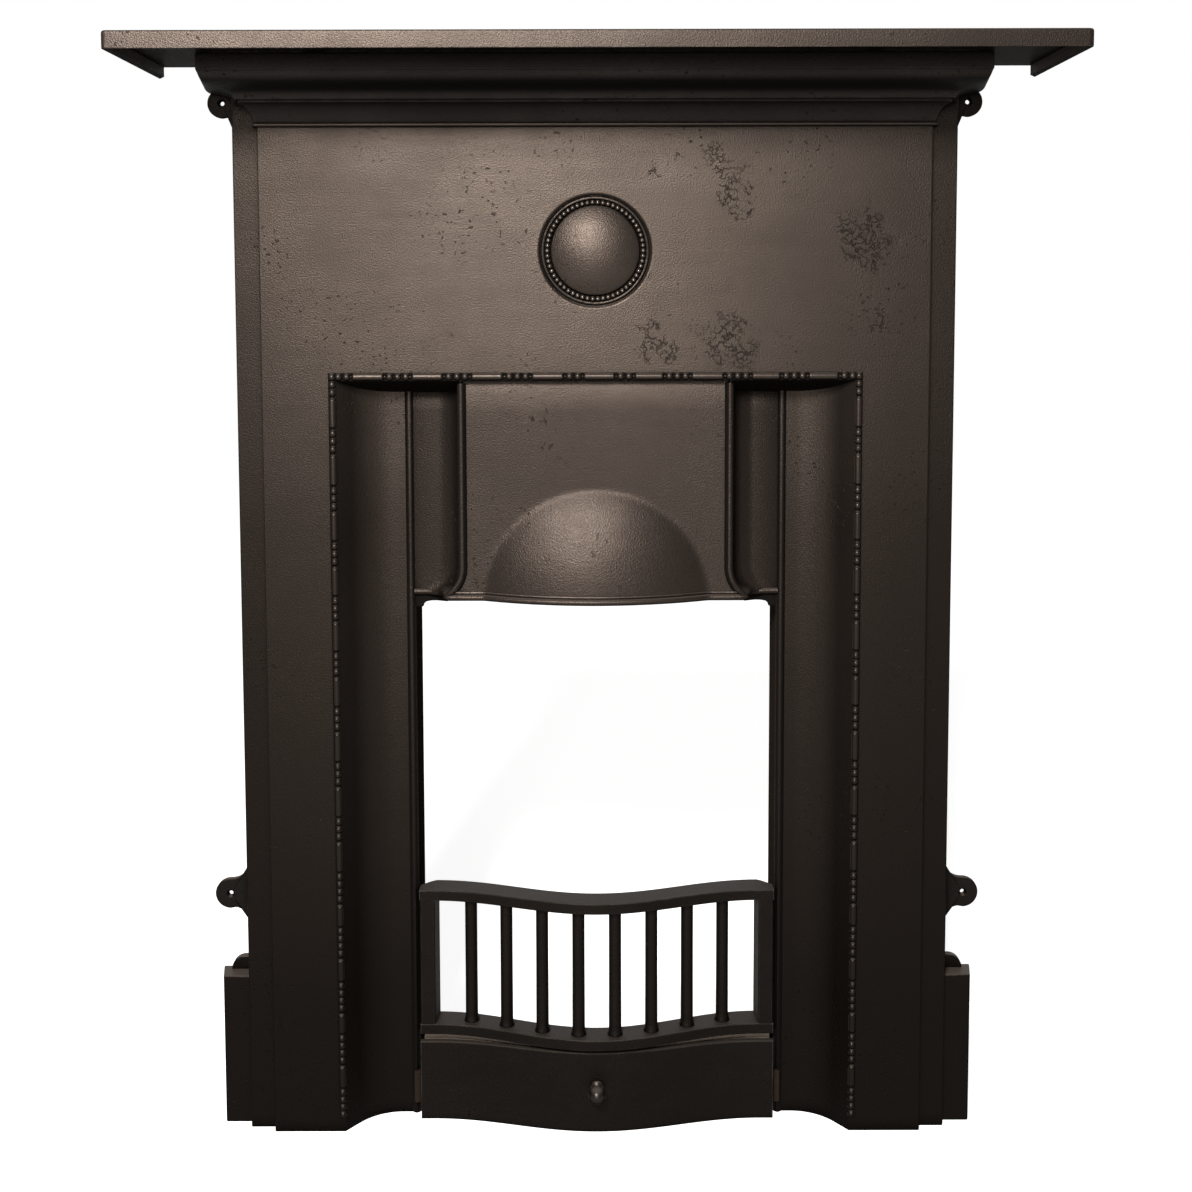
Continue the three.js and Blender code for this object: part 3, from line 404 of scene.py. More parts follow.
def painted_shade_to_the_foot(tree, colour, height, foot):
    """Darkens the legs as painted shade in two stages: quickly beside the opening, then slowly to the floor."""
    upper_fall = maths(tree, "MULTIPLY", span(tree, height, 0.72, 0.56), 0.42)
    lower_fall = maths(tree, "MULTIPLY", span(tree, height, 0.62, 0.12), 0.58)
    return cover(tree, colour, maths(tree, "ADD", upper_fall, lower_fall), FOOT_SHARE, foot)


def painted_shade_to_the_ends(tree, colour, forward, aside, dark, middle, near, far, share, strip_share):
    """Darkens the ends of the faces that look forward, and the strips beside the wall, as painted shade."""
    away = maths(tree, "ABSOLUTE", maths(tree, "SUBTRACT", aside, middle))
    broad = span(tree, forward, -0.85, -0.97, 0.0, share)
    colour = cover(tree, colour, span(tree, away, near, far), broad, dark)
    strip = span(tree, maths(tree, "ABSOLUTE", aside), *STRIP_EDGE)
    return cover(tree, colour, strip, strip_share, dark)


# Where each casting is lightest, and how far its colour is darkened as painted shade towards its ends.
FRONT_SHADE = {"middle": -0.035, "near": 0.07, "far": 0.30, "share": 0.58, "strip_share": 0.42}
HOOD_SHADE = {"middle": 0.0, "near": 0.117, "far": 0.124, "share": 0.5, "strip_share": 0.0}
SHELF_SHADE = {"middle": -0.20, "near": 0.10, "far": 0.50, "share": 0.72, "strip_share": 0.0}
print("fades: 3, for the front, the hood and the shelf")

# %% [markdown]
# Now the iron itself. It is one recipe with a few settings, because all the castings came from the
# same foundry and the same tin of polish: only how dark, how smooth and how worn they are changes.
# The colours are laid over each other in this order: polish, pits, rubbed edges, painted shade in the
# hollows and on undersides, painted shade down the legs and towards the ends, a dry brown on faces
# that look sideways (burnt iron beside the fire, and painted shade on the other sideways faces), and
# dust on whatever looks up. Graphite shines like a dark metal, so the surface is nearly all metallic,
# and dust and sideways faces take that away again.

# %% The cast iron recipe
# The dry brown of faces that look sideways: burnt iron beside the fire, painted shade on the rest.
BURNT_AND_SIDE_SHADE = (0.020, 0.016, 0.013)
DUST = (0.042, 0.033, 0.027)


def cast_iron(name, tone, roughness, foot_shade=1.0, grain=0.5, pits=0.6, wear=0.5, metal=0.9,
              scabs=False, fade=None, gloss=0.2, dust=0.75):
    """A polished casting. The tone is its colour where the polish lies best and no painted shade darkens it."""
    material = bpy.data.materials.new(name)
    material.use_nodes = True
    tree = material.node_tree
    shader = tree.nodes["Principled BSDF"]
    place = add(tree, "ShaderNodeTexCoord").outputs["Object"]
    face = add(tree, "ShaderNodeNewGeometry")
    looks = add(tree, "ShaderNodeSeparateXYZ")
    tree.links.new(face.outputs["Normal"], looks.inputs[0])
    lies = add(tree, "ShaderNodeSeparateXYZ")
    tree.links.new(place, lies.inputs[0])
    black = darker(tone, 0.16)
    worn = tuple(min(2.3 * c + 0.02, 1.0) for c in tone)

    # Polish, the grain of the sand, pits and scabs.
    even = polish_thickness(tree, place)
    colour = blend(tree, even, darker(tone, 0.72), tone)
    sand = noise(tree, place, 760.0, 2.0, 0.6)
    colour = cover(tree, colour, span(tree, sand, 0.60, 0.42), 0.9 * grain, darker(tone, 0.45))
    pit = pit_places(tree, place)
    colour = cover(tree, colour, pit, 0.8 * pits, black)
    if scabs:
        crease = crease_places(tree, place)
        colour = cover(tree, colour, crease, 0.28, black)
        pit = maths(tree, "MAXIMUM", pit, crease)

    # Rubbed edges, then painted shade: in the hollows, on undersides, down the legs and towards the ends.
    if wear:
        colour = cover(tree, colour, rubbed_places(tree, place, face), wear, worn)
    colour = cover(tree, colour, painted_shade_in_hollows(tree), 0.9, black)
    # Faces that look down are darkened as painted shade.
    below = span(tree, looks.outputs["Z"], -0.25, -0.85)
    colour = cover(tree, colour, below, 0.7, black)
    if foot_shade < 1.0:
        colour = painted_shade_to_the_foot(tree, colour, lies.outputs["Z"], darker(tone, foot_shade))
    if fade:
        colour = painted_shade_to_the_ends(tree, colour, looks.outputs["Y"], lies.outputs["X"], black, **fade)

    # Faces that look sideways get a dry brown, burnt iron beside the fire and painted shade elsewhere, and
    # faces that look up hold dust.
    sideways = span(tree, maths(tree, "ABSOLUTE", looks.outputs["X"]), 0.86, 0.97)
    above = span(tree, looks.outputs["Z"], 0.55, 0.90)
    colour = cover(tree, colour, sideways, 0.35, BURNT_AND_SIDE_SHADE)
    colour = cover(tree, colour, above, dust, DUST)
    tree.links.new(colour, shader.inputs["Base Color"])
    dulled = [maths(tree, "MULTIPLY", above, 0.7), maths(tree, "MULTIPLY", sideways, 0.85)]
    shine = maths(tree, "SUBTRACT", 1.0, maths(tree, "MAXIMUM", *dulled))
    tree.links.new(maths(tree, "MULTIPLY", shine, metal), shader.inputs["Metallic"])

    # The polish is smoothest where it is thickest.
    uneven = maths(tree, "MULTIPLY", maths(tree, "SUBTRACT", 1.0, even), 0.10)
    rough = maths(tree, "ADD", uneven, maths(tree, "MULTIPLY", pit, 0.25))
    rough = maths(tree, "ADD", rough, maths(tree, "MULTIPLY", sideways, 0.3))
    tree.links.new(maths(tree, "ADD", rough, roughness), shader.inputs["Roughness"])
    shader.inputs["Specular IOR Level"].default_value = gloss
    shader.inputs["Specular Tint"].default_value = (0.10, 0.09, 0.08, 1.0)

    # Heights: slow waviness of the mould, sand grain, pits.
    wave = bump(tree, noise(tree, place, 16.0, 3.0), 0.003, 0.09)
    skin = bump(tree, sand, 0.0008, grain, wave)
    dents = bump(tree, maths(tree, "SUBTRACT", 1.0, pit), 0.0015, pits, skin)
    tree.links.new(dents, shader.inputs["Normal"])
    return material


print("recipe: burnt", BURNT_AND_SIDE_SHADE, "dust", DUST)

# %% [markdown]
# The recipe is mixed once for each finish. Five castings have their own tone. The small forms get
# mixes of their own too: beads in a paler tone, partly painted highlight and partly polish rubbed off,
# black iron for the painted shade beside every roll, the cornice darkened as painted shade under the
# shelf, a pale rib as painted light, the wall lugs that nobody polished, and the dry brown iron beside
# the fire. Behind, everything is rough, and the bolts and nuts are dull steel.

# %% Mixing the irons
# Darkened down the legs and towards the ends as painted shade.
front_iron = cast_iron(
    "front_iron", (0.0325, 0.0251, 0.0204), 0.385, foot_shade=0.12, wear=0.2, scabs=True, fade=FRONT_SHADE,
)
# The cornice is darkened as painted shade under the shelf's overhang.
shaded_cornice_iron = cast_iron("shaded_cornice_iron", (0.0165, 0.0138, 0.0126), 0.56, wear=0.3, metal=0.7)
# Darkened down the legs as painted shade.
trim_iron = cast_iron(
    "trim_iron", (0.025, 0.0196, 0.0161), 0.33, foot_shade=0.3, grain=0.2, pits=0.2, wear=0.0,
)
# Paler than the front: painted highlight on the beads, and polish rubbed off them.
bead_iron = cast_iron("bead_iron", (0.070, 0.057, 0.048), 0.26, grain=0.1, pits=0.1, wear=0.0)
# Near-black iron for pieces that stand for painted shade in grooves, channels and under lips.
shade_black_iron = cast_iron("shade_black_iron", (0.0030, 0.0025, 0.0022), 0.70, wear=0.0, metal=0.3)
lug_iron = cast_iron("lug_iron", (0.0085, 0.007, 0.0062), 0.5, wear=0.0)
baked_iron = cast_iron(
    "baked_iron", (0.0125, 0.0088, 0.0062), 0.85, wear=0.0, metal=0.0, gloss=0.0, dust=0.0,
)
# Darkened towards its ends, most to the right, as painted shade.
shelf_iron = cast_iron("shelf_iron", (0.0365, 0.0282, 0.0232), 0.40, grain=0.6, fade=SHELF_SHADE)
# Its flanks are darkened as painted shade.
hood_iron = cast_iron("hood_iron", (0.0235, 0.0181, 0.0149), 0.35, pits=0.5, wear=0.2, fade=HOOD_SHADE)
fire_iron = cast_iron("fire_iron", (0.0082, 0.0065, 0.0054), 0.46, wear=0.9, dust=0.3)
# A pale tone as painted light on the rib under the lower rail.
lit_rib_iron = cast_iron("lit_rib_iron", (0.24, 0.19, 0.15), 0.62, wear=0.0, metal=0.3)
back_iron = cast_iron("back_iron", (0.030, 0.024, 0.020), 0.62, grain=0.7, wear=0.0)
knob_iron = cast_iron("knob_iron", (0.017, 0.0145, 0.0125), 0.26, grain=0.1, wear=0.0)
dull_steel = cast_iron("dull_steel", (0.13, 0.118, 0.11), 0.36, grain=0.1, wear=0.0)

# %% [markdown]
# ## How the castings are built
#
# Almost every form on this fireplace is a section carried along a line: the cornice along the front,
# the coved jamb up its height, the grate's rails along a bow. So the main tool is a skin that joins
# rows of points. Boxes and cylinders cut from each other would do for the plain parts, but not for a
# cove that turns into a return. The first helper makes a piece of the object from such a skin. It
# joins points that fall together, smooths the curves and keeps corners over a limit crisp.

# %% Pieces from points and faces
SHARP = math.radians(38)


def piece(name, points, faces, iron, body="fireplace", node=None, sharp=SHARP):
    """Makes an object from points in millimetres, smooth except at corners sharper than the limit."""
    mesh = bpy.data.meshes.new(name)
    mesh.from_pydata([at(*p) for p in points], [], faces)
    work = bmesh.new()
    work.from_mesh(mesh)
    bmesh.ops.remove_doubles(work, verts=work.verts, dist=2e-6)
    bmesh.ops.dissolve_degenerate(work, edges=work.edges, dist=1e-7)
    bmesh.ops.recalc_face_normals(work, faces=work.faces)
    work.to_mesh(mesh)
    work.free()
    mesh.shade_smooth()
    mesh.set_sharp_from_angle(angle=sharp)
    mesh.materials.append(iron)
    made = bpy.data.objects.new(name, mesh)
    scene.collection.objects.link(made)
    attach(made, body)
    if node:
        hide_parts(node)
    return made


print("corners stay sharp over", round(math.degrees(SHARP)), "degrees")

# %% [markdown]
# The next helpers make the points and faces themselves. A grid is the plain skin through rows of
# points. Closed at both ends it is a solid, pushed out straight it is a prism, and with round rows
# it is a tube. Most pieces come in pairs, so one helper mirrors them and another gathers them up.

# %% Skins and solids


def grid(rows, closed=False):
    """Points and faces of a skin through rows of points. Closed rows join end to end."""
    width = len(rows[0])
    points = [p for row in rows for p in row]
    faces = []
    for r in range(len(rows) - 1):
        for c in range(width if closed else width - 1):
            a = r * width + c
            b = r * width + (c + 1) % width
            faces.append((a, b, b + width, a + width))
    return points, faces


def solid_between(rows):
    """Points and faces of a closed solid through closed rows, with a flat face at each end."""
    points, faces = grid(rows, closed=True)
    width = len(rows[0])
    last = len(points) - width
    faces.append(tuple(range(width - 1, -1, -1)))
    faces.append(tuple(range(last, last + width)))
    return points, faces


def prism(outline, axis, low, high):
    """A flat shape pushed out along x, y or z."""
    place = {
        "x": lambda a, b, c: (c, a, b),
        "y": lambda a, b, c: (a, c, b),
        "z": lambda a, b, c: (a, b, c),
    }[axis]
    return solid_between([[place(a, b, c) for a, b in outline] for c in (low, high)])


def gather(*parts):
    """Puts several lists of points and faces into one."""
    points = []
    faces = []
    for more_points, more_faces in parts:
        start = len(points)
        points.extend(more_points)
        faces.extend(tuple(i + start for i in face) for face in more_faces)
    return points, faces


def mirrored(part):
    """The same points and faces on the other side of the middle."""
    points, faces = part
    return [(-x, y, z) for x, y, z in points], [tuple(reversed(face)) for face in faces]


print("skins: grid, solid, prism")

# %% [markdown]
# Sections are drawn with arcs, and their corners are rounded where the mould would crumble. A tube
# follows a line and may change its radius on the way, which later makes a whole string of beads. To
# keep its skin from twisting, each ring takes its upward direction from the ring before.

# %% Arcs, rounded lines and tubes


def arc(cx, cy, radius, start, end, steps):
    """Points on an arc between two angles in degrees."""
    turn = [math.radians(start + (end - start) * i / steps) for i in range(steps + 1)]
    return [(cx + radius * math.cos(t), cy + radius * math.sin(t)) for t in turn]


def rounded(line, radii, steps=4):
    """An open line with its inner corners rounded off. Radii are given for the inner points."""
    done = [line[0]]
    for i in range(1, len(line) - 1):
        here = Vector(line[i])
        before = (Vector(line[i - 1]) - here).normalized()
        after = (Vector(line[i + 1]) - here).normalized()
        radius = radii[i - 1]
        if radius <= 0:
            done.append(line[i])
            continue
        half_turn = before.angle(after) / 2
        reach = radius / math.tan(half_turn)
        start = here + before * reach
        end = here + after * reach
        for k in range(steps + 1):
            t = k / steps
            spot = start * (1 - t) ** 2 + here * 2 * t * (1 - t) + end * t ** 2
            done.append((spot.x, spot.y))
    done.append(line[-1])
    return done


def tube(points, radii, sides=12):
    """A round solid along a line, with its own radius at every point."""
    spots = [Vector(p) for p in points]
    rows = []
    upward = None
    for i, spot in enumerate(spots):
        ahead = (spots[min(i + 1, len(spots) - 1)] - spots[max(i - 1, 0)]).normalized()
        if upward is None:
            upward = Vector((0, 1, 0)) if abs(ahead.y) < 0.9 else Vector((0, 0, 1))
        side = ahead.cross(upward).normalized()
        upward = side.cross(ahead).normalized()
        row = []
        for k in range(sides):
            t = 2 * math.pi * k / sides
            row.append(tuple(spot + (side * math.cos(t) + upward * math.sin(t)) * radii[i]))
        rows.append(row)
    return solid_between(rows)


print("a circle in 4 steps:", [(round(x), round(y)) for x, y in arc(0, 0, 1, 0, 360, 4)])

# %% [markdown]
# Two modifiers finish a piece. One gives an open skin the thickness of the casting, so only the face
# that shows has to be drawn. The other rounds the arrises, as sand casting and polishing do. They are
# left as modifiers, because the numbers can then still be changed.

# %% Thickness and soft arrises


def shell(made, thickness, bevel=0.0, even=True):
    """Gives an open skin the thickness of the casting, behind the face that shows."""
    solidify = made.modifiers.new("iron", "SOLIDIFY")
    solidify.thickness = thickness * MM
    solidify.offset = -1.0
    solidify.use_even_offset = even
    if bevel:
        soften(made, bevel)
    return made


def soften(made, width, segments=2):
    """Rounds the arrises a little, as sand casting and polishing do."""
    modifier = made.modifiers.new("arrises", "BEVEL")
    modifier.width = width * MM
    modifier.segments = segments
    modifier.limit_method = "ANGLE"
    modifier.angle_limit = math.radians(40)
    modifier.harden_normals = True
    return made


print("modifiers: thickness and soft arrises")

# %% [markdown]
# ## The front casting's skin
#
# Seen from above, each half of the front is one continuous line. It comes forward beside the fire,
# turns out along a short flat, sweeps forward in a cove to the edge of the panel, then steps back
# twice and leans out to the wall. Casting needs that lean, so that the pattern draws out of the
# sand. We carry the line up from the floor. Above the opening only its outer half goes on, and the
# frieze fills the middle. The underside of the opening slopes too, down towards the back, and shows
# as a dark crescent over each jamb.

# %% Sizes of the front
HEIGHT = 965.0
PANEL_HALF = 293.0
PANEL_TOP = 905.0
OPENING_HALF = 228.7
OPENING_TOP = 683.5
STRIP_HALF = 316.0
STRIP_STEP = 8.0
WALL_PLANE = 39.0
SIDE_BACK = 323.0
RETURN_HALF = 166.0
RETURN_BACK = 100.0
COVE_DEPTH = 33.0
COVE_RADIUS = 47.6
COVE_SLOPE = 52.0
IRON = 6.0
SOFFIT_SLOPE = 0.35
SOFFIT_MIDDLE = 119.4
BOSS_HEIGHT = 796.5
BOSS_RADIUS = 48.0


def cove_line():
    """From the rear of the return to the edge of the panel, seen from above."""
    slope = math.radians(COVE_SLOPE)
    straight = (COVE_DEPTH - COVE_RADIUS * (1 - math.cos(slope))) / math.sin(slope)
    flat_end = OPENING_HALF - straight * math.cos(slope) - COVE_RADIUS * math.sin(slope)
    back = [(RETURN_HALF, RETURN_BACK), (RETURN_HALF, 70.0), (RETURN_HALF, WALL_PLANE)]
    flat = [(RETURN_HALF, COVE_DEPTH), (flat_end - 4.0, COVE_DEPTH)]
    sweep = arc(flat_end, COVE_DEPTH - COVE_RADIUS, COVE_RADIUS, 90, 90 - COVE_SLOPE, 14)
    return back + flat + sweep + [(OPENING_HALF - 2.5, 3.2), (OPENING_HALF, 0.0)]


def side_line():
    """From the edge of the opening over the panel and the strip to the wall."""
    corners = [
        (OPENING_HALF, 0.0),
        (PANEL_HALF, 0.0),
        (PANEL_HALF, STRIP_STEP),
        (STRIP_HALF, STRIP_STEP),
        (SIDE_BACK, WALL_PLANE),
    ]
    return rounded(corners, [1.4, 0.9, 1.4])


def soffit_height(y):
    """The top of the recess slopes down towards the back, so that the pattern draws out of the sand."""
    return OPENING_TOP - SOFFIT_SLOPE * y if 0 < y <= WALL_PLANE else OPENING_TOP


print("cove line:", len(cove_line()), "points; side line:", len(side_line()), "points")

# %% [markdown]
# The round boss sits in a hole in the frieze. The hole could be cut with a boolean, but that leaves
# long thin faces that shade badly. Instead the grid of the frieze has a square left out, and a ring
# of faces leads from the square's edge to the circle.

# %% Frieze
ROUND = 96
SQUARE_HALF = 62.0


def square_ring():
    """Points round the left-out square, starting at the middle of its right side, as the circle does."""
    ring = []
    for i in range(ROUND):
        t = 2 * math.pi * i / ROUND
        reach = SQUARE_HALF / max(abs(math.cos(t)), abs(math.sin(t)))
        ring.append((reach * math.cos(t), reach * math.sin(t)))
    return ring


def frieze_steps():
    """Places along one side of the square, shared with the grid around it."""
    return sorted({round(x, 6) for x, _ in square_ring()})


def frieze_faces(columns, upper):
    """The flat faces of the frieze, without the square round the boss."""
    parts = []
    for r in range(len(upper) - 1):
        for c in range(len(columns) - 1):
            inside = abs(columns[c] + columns[c + 1]) / 2 < SQUARE_HALF
            level = abs((upper[r] + upper[r + 1]) / 2 - BOSS_HEIGHT) < SQUARE_HALF
            if inside and level:
                continue
            x0, x1, z0, z1 = columns[c], columns[c + 1], upper[r], upper[r + 1]
            corners = [(x0, 0, z0), (x1, 0, z0), (x1, 0, z1), (x0, 0, z1)]
            parts.append((corners, [(0, 1, 2, 3)]))
    return parts


def boss_collar():
    """The ring of faces from the square to the round hole."""
    last = 360 - 360 / ROUND
    rings = [arc(0, 0, BOSS_RADIUS + wider, 0, last, ROUND - 1) for wider in (0, 3)] + [square_ring()]
    return grid([[(x, 0.0, BOSS_HEIGHT + z) for x, z in ring] for ring in rings], closed=True)


print("frieze:", len(frieze_steps()), "places along the square,", ROUND, "round the hole")

# %% [markdown]
# The jambs, the frieze and the underside of the opening now come together as one mesh, so that light
# runs over it without a seam. Its heights are the same all the way across, or there would be cracks
# where a tall face meets two short ones. Blender doesn't know which side of an open skin is the
# front. The largest face tells, and then the whole skin is thickened to 6 mm behind it.

# %% Front skin
LEG_HEIGHTS = [0.0, 12.0, 60.0, 120.0, 200.0, 300.0, 400.0, 500.0, 600.0, 660.0]
STRIP_TOP = 930.0


def soffit_faces(columns):
    """The underside of the opening: a slope over each jamb, and a flat part over the hood."""
    low = soffit_height(WALL_PLANE)
    near, deep = (SOFFIT_MIDDLE, 0.0, OPENING_TOP), (SOFFIT_MIDDLE, WALL_PLANE, low)
    line = [(x, y, soffit_height(y)) for x, y in cove_line() if y <= WALL_PLANE] + [near, deep]
    slope = (line, [tuple(range(len(line)))])
    cheek = ([near, deep, (SOFFIT_MIDDLE, WALL_PLANE, OPENING_TOP)], [(0, 1, 2)])
    flat = [(x, 0.0, OPENING_TOP) for x in columns[1:-1]]
    flat += [(SOFFIT_MIDDLE, WALL_PLANE, OPENING_TOP), (-SOFFIT_MIDDLE, WALL_PLANE, OPENING_TOP)]
    return [slope, mirrored(slope), cheek, mirrored(cheek), (flat, [tuple(range(len(flat)))])]


def front_skin():
    steps = frieze_steps()
    columns = [-OPENING_HALF, -SOFFIT_MIDDLE] + steps + [SOFFIT_MIDDLE, OPENING_HALF]
    upper = [OPENING_TOP, OPENING_TOP + 30] + [BOSS_HEIGHT + s for s in steps] + [880.0, 912.0]
    jamb_rows = [[(x, y, z) for x, y in cove_line()] for z in LEG_HEIGHTS]
    jamb_rows.append([(x, y, soffit_height(y)) for x, y in cove_line()])
    jamb = grid(jamb_rows)
    side = grid([[(x, y, z) for x, y in side_line()] for z in LEG_HEIGHTS + upper + [STRIP_TOP]])
    parts = frieze_faces(columns, upper) + [boss_collar(), jamb, side, mirrored(jamb), mirrored(side)]
    return gather(*parts, *soffit_faces(columns))


def face_the_front(made):
    """Turns every face the same way, with the panel facing the front."""
    work = bmesh.new()
    work.from_mesh(made.data)
    bmesh.ops.recalc_face_normals(work, faces=work.faces)
    work.faces.ensure_lookup_table()
    largest = max(work.faces, key=lambda f: f.calc_area() * abs(f.normal.y))
    if largest.normal.y > 0:
        bmesh.ops.reverse_faces(work, faces=work.faces)
    work.to_mesh(made.data)
    work.free()
    made.data.set_sharp_from_angle(angle=SHARP)
    return made


points, faces = front_skin()
skin = face_the_front(piece("front_skin", points, faces, front_iron, node="surround"))
shell(skin, IRON)
print("front skin:", len(skin.data.polygons), "faces")

# %% [markdown]
# ## The cornice
#
# The cornice is what the eye runs along first, so its section gets care: a small round bead on the
# panel, a cove, a dark sharp groove, the long S of the ogee and a square fillet under the shelf. It
# is carried from wall to wall through two mitred corners. At the wall it stands out more than at
# the corner, because the sides of the casting are drafted. The corners stay sharp lines, so the
# sections before and after a mitre share one row of points. The small bead is drawn once more, as a
# thin tube in brighter iron, because it catches the light all along the frieze.

# %% Cornice section
CORNICE_TOP = HEIGHT - 4.6
CORNICE_DRAFT = 9.0
CORNICE_SPREAD = 1.15


def curve_points(a, b, c, d, steps):
    """Points on a curve that leaves a towards b and arrives at d from c."""
    done = []
    for i in range(1, steps + 1):
        t = i / steps
        weights = ((1 - t) ** 3, 3 * t * (1 - t) ** 2, 3 * t * t * (1 - t), t ** 3)
        x = sum(w * p[0] for w, p in zip(weights, (a, b, c, d)))
        z = sum(w * p[1] for w, p in zip(weights, (a, b, c, d)))
        done.append((x, z))
    return done


def cornice_section():
    """How far it stands out from the panel, and at what height, from the bottom up and round behind."""
    bead = arc(1.2, PANEL_TOP + 0.2, 1.9, -120, 100, 8)
    cove = curve_points((1.4, PANEL_TOP + 2.4), (2.6, 914.0), (6.5, 921.2), (12.6, 923.3), 9)
    groove = [(12.9, 923.9), (12.0, 924.4), (12.2, 925.4), (14.6, 925.2), (15.4, 925.9)]
    ogee = curve_points((15.5, 926.4), (16.0, 938.5), (39.2, 931.5), (39.8, 945.0), 18)
    fillet = [(39.9, 945.9), (40.6, 946.2), (41.0, 946.9), (41.0, 958.8), (40.4, CORNICE_TOP)]
    behind = [(34.0, CORNICE_TOP), (34.0, 949.0), (9.5, 928.0), (-5.8, 911.0), (-5.8, 903.0)]
    return [(-0.2, 903.3)] + bead + [(1.4, PANEL_TOP + 2.4)] + cove + groove + ogee + fillet + behind


def cornice_stations():
    section = cornice_section()

    def station(side, share):
        spread = 1 + (CORNICE_SPREAD - 1) * share
        x0 = PANEL_HALF + CORNICE_DRAFT * share
        row = []
        for p, z in section:
            row.append((side * (x0 + spread * p), WALL_PLANE * share - p * (1 - share), z))
        return row

    left_end = [station(-1, s) for s in (1.0, 0.66, 0.33)]
    right_end = [station(1, s) for s in (0.33, 0.66, 1.0)]
    front = [station(-1, 0.0)]
    for i in range(1, 12):
        t = i / 12
        front.append([((2 * t - 1) * (PANEL_HALF + p), -p, z) for p, z in section])
    front.append(station(1, 0.0))
    return left_end + front + right_end


points, faces = solid_between(cornice_stations())
cornice = piece("cornice", points, faces, shaded_cornice_iron, node="surround", sharp=math.radians(28))
face_the_front(cornice)
BEAD_OUT = 1.4
BEAD_THICK = 2.0
bead_end = PANEL_HALF + BEAD_OUT
bead_places = [-bead_end, -200.0, -100.0, 0.0, 100.0, 200.0, bead_end]
bead_line = [(x, -BEAD_OUT, PANEL_TOP + 0.4) for x in bead_places]
points, faces = tube(bead_line, [BEAD_THICK] * len(bead_line))
piece("cornice_bead", points, faces, trim_iron, node="surround")
print("cornice:", len(cornice_section()), "points in its section")

# %% [markdown]
# ## The shelf
#
# The shelf is a thin plate with a lip turned down round three sides. Its outer arrises are rounded
# by casting and by a century of dusting. An open skin does this in few faces: a ring runs round the
# front and both ends, rises, and rolls over onto the top, and the top is one flat face. Then it gets
# its thickness.

# %% Shelf
SHELF_HALF = 389.2
SHELF_SHIFT = 2.2  # it was screwed on a little to the right
SHELF_FRONT = -121.0
LIP_HEIGHT = 14.3
SHELF_PLATE = 4.3


def shelf_rim(inset):
    """The line round the left end, the front and the right end, moved inwards."""
    x = SHELF_HALF - inset
    y = SHELF_FRONT + inset
    r = max(4.5 - inset, 0.6)
    left = [(-x, WALL_PLANE), (-x, -40.0)]
    corner_left = arc(-x + r, y + r, r, 180, 270, 6)
    front = [(-x * (1 - i / 5), y) for i in range(1, 10)]
    corner_right = arc(x - r, y + r, r, 270, 360, 6)
    return left + corner_left + front + corner_right + [(x, -40.0), (x, WALL_PLANE)]


def shelf_skin():
    bottom = HEIGHT - LIP_HEIGHT
    profile = [(0.35, bottom), (0.0, bottom + 0.8), (0.0, HEIGHT - 2.6)]
    profile += [(2.2 - 2.2 * math.cos(t), HEIGHT - 2.2 + 2.2 * math.sin(t)) for t in (0.35, 0.75, 1.15, 1.5708)]
    rows = [[(x + SHELF_SHIFT, y, z) for x, y in shelf_rim(inset)] for inset, z in profile]
    points, faces = grid(rows)
    width = len(rows[0])
    last = len(points) - width
    faces.append(tuple(range(last, last + width)))
    return points, faces


points, faces = shelf_skin()
shelf = face_the_front(piece("shelf", points, faces, shelf_iron, node="mantel_shelf"))
shell(shelf, SHELF_PLATE, bevel=0.5)
print("shelf:", 2 * SHELF_HALF, "mm long")

# %% [markdown]
# ## The round boss
#
# The boss in the frieze is a turned form: a groove, a thin ring, a channel with a string of beads in
# it, and a low dome. A turned form needs only its outline, spun round its own middle. The beads are
# small balls set half into the channel, because a bump would not catch the light on each one.

# %% Turned forms


def turned(outline, centre, axis=(0, -1, 0), sides=48):
    """A skin made by spinning an outline of (radius, distance along the axis)."""
    middle = Vector(centre)
    axis = Vector(axis).normalized()
    across = Vector((1, 0, 0)) if abs(axis.x) < 0.9 else Vector((0, 0, 1))
    upward = across.cross(axis).normalized()
    rows = []
    for radius, along in outline:
        row = []
        for k in range(sides):
            t = 2 * math.pi * k / sides
            spoke = across * math.cos(t) + upward * math.sin(t)
            row.append(tuple(middle + axis * along + spoke * radius))
        rows.append(row)
    return grid(rows, closed=True)


def ball(centre, radius, sides=14, rings=8):
    turns = [math.pi * i / rings for i in range(rings + 1)]
    outline = [(radius * math.sin(t), -radius * math.cos(t)) for t in turns]
    return turned(outline, centre, sides=sides)


print("a ball:", len(ball((0, 0, 0), 1.0)[1]), "faces")

# %% [markdown]
# The dome is a slice of a large sphere, whose radius follows from how wide and how high the slice is.
# The groove and the channel under the beads lie in shade. Shading alone leaves them too pale,
# so two flat black rings of painted shade lie in them, just above the iron.

# %% Boss
DOME_RADIUS = 38.2
DOME_RISE = 9.8
BEAD_CIRCLE = 41.8
BEAD_COUNT = 58
BOSS_BEAD = 2.1
BOSS_WALL = 4.0


def boss_outline():
    sphere = (DOME_RADIUS ** 2 + DOME_RISE ** 2) / (2 * DOME_RISE)
    outline = [(48.0, 0.0), (47.8, -0.5), (47.6, -2.0), (47.0, -2.0), (46.8, -0.4), (46.4, 0.6), (45.7, 0.9)]
    outline += [(45.0, 0.6), (44.7, -0.5), (44.4, -2.2), (43.6, -2.4), (39.7, -2.4), (39.2, -2.0), (38.8, -0.5)]
    steps = 22
    for i in range(steps + 1):
        radius = DOME_RADIUS * math.cos(math.pi / 2 * i / steps)
        rise = math.sqrt(sphere ** 2 - radius ** 2) - (sphere - DOME_RISE)
        outline.append((radius, rise))
    return outline


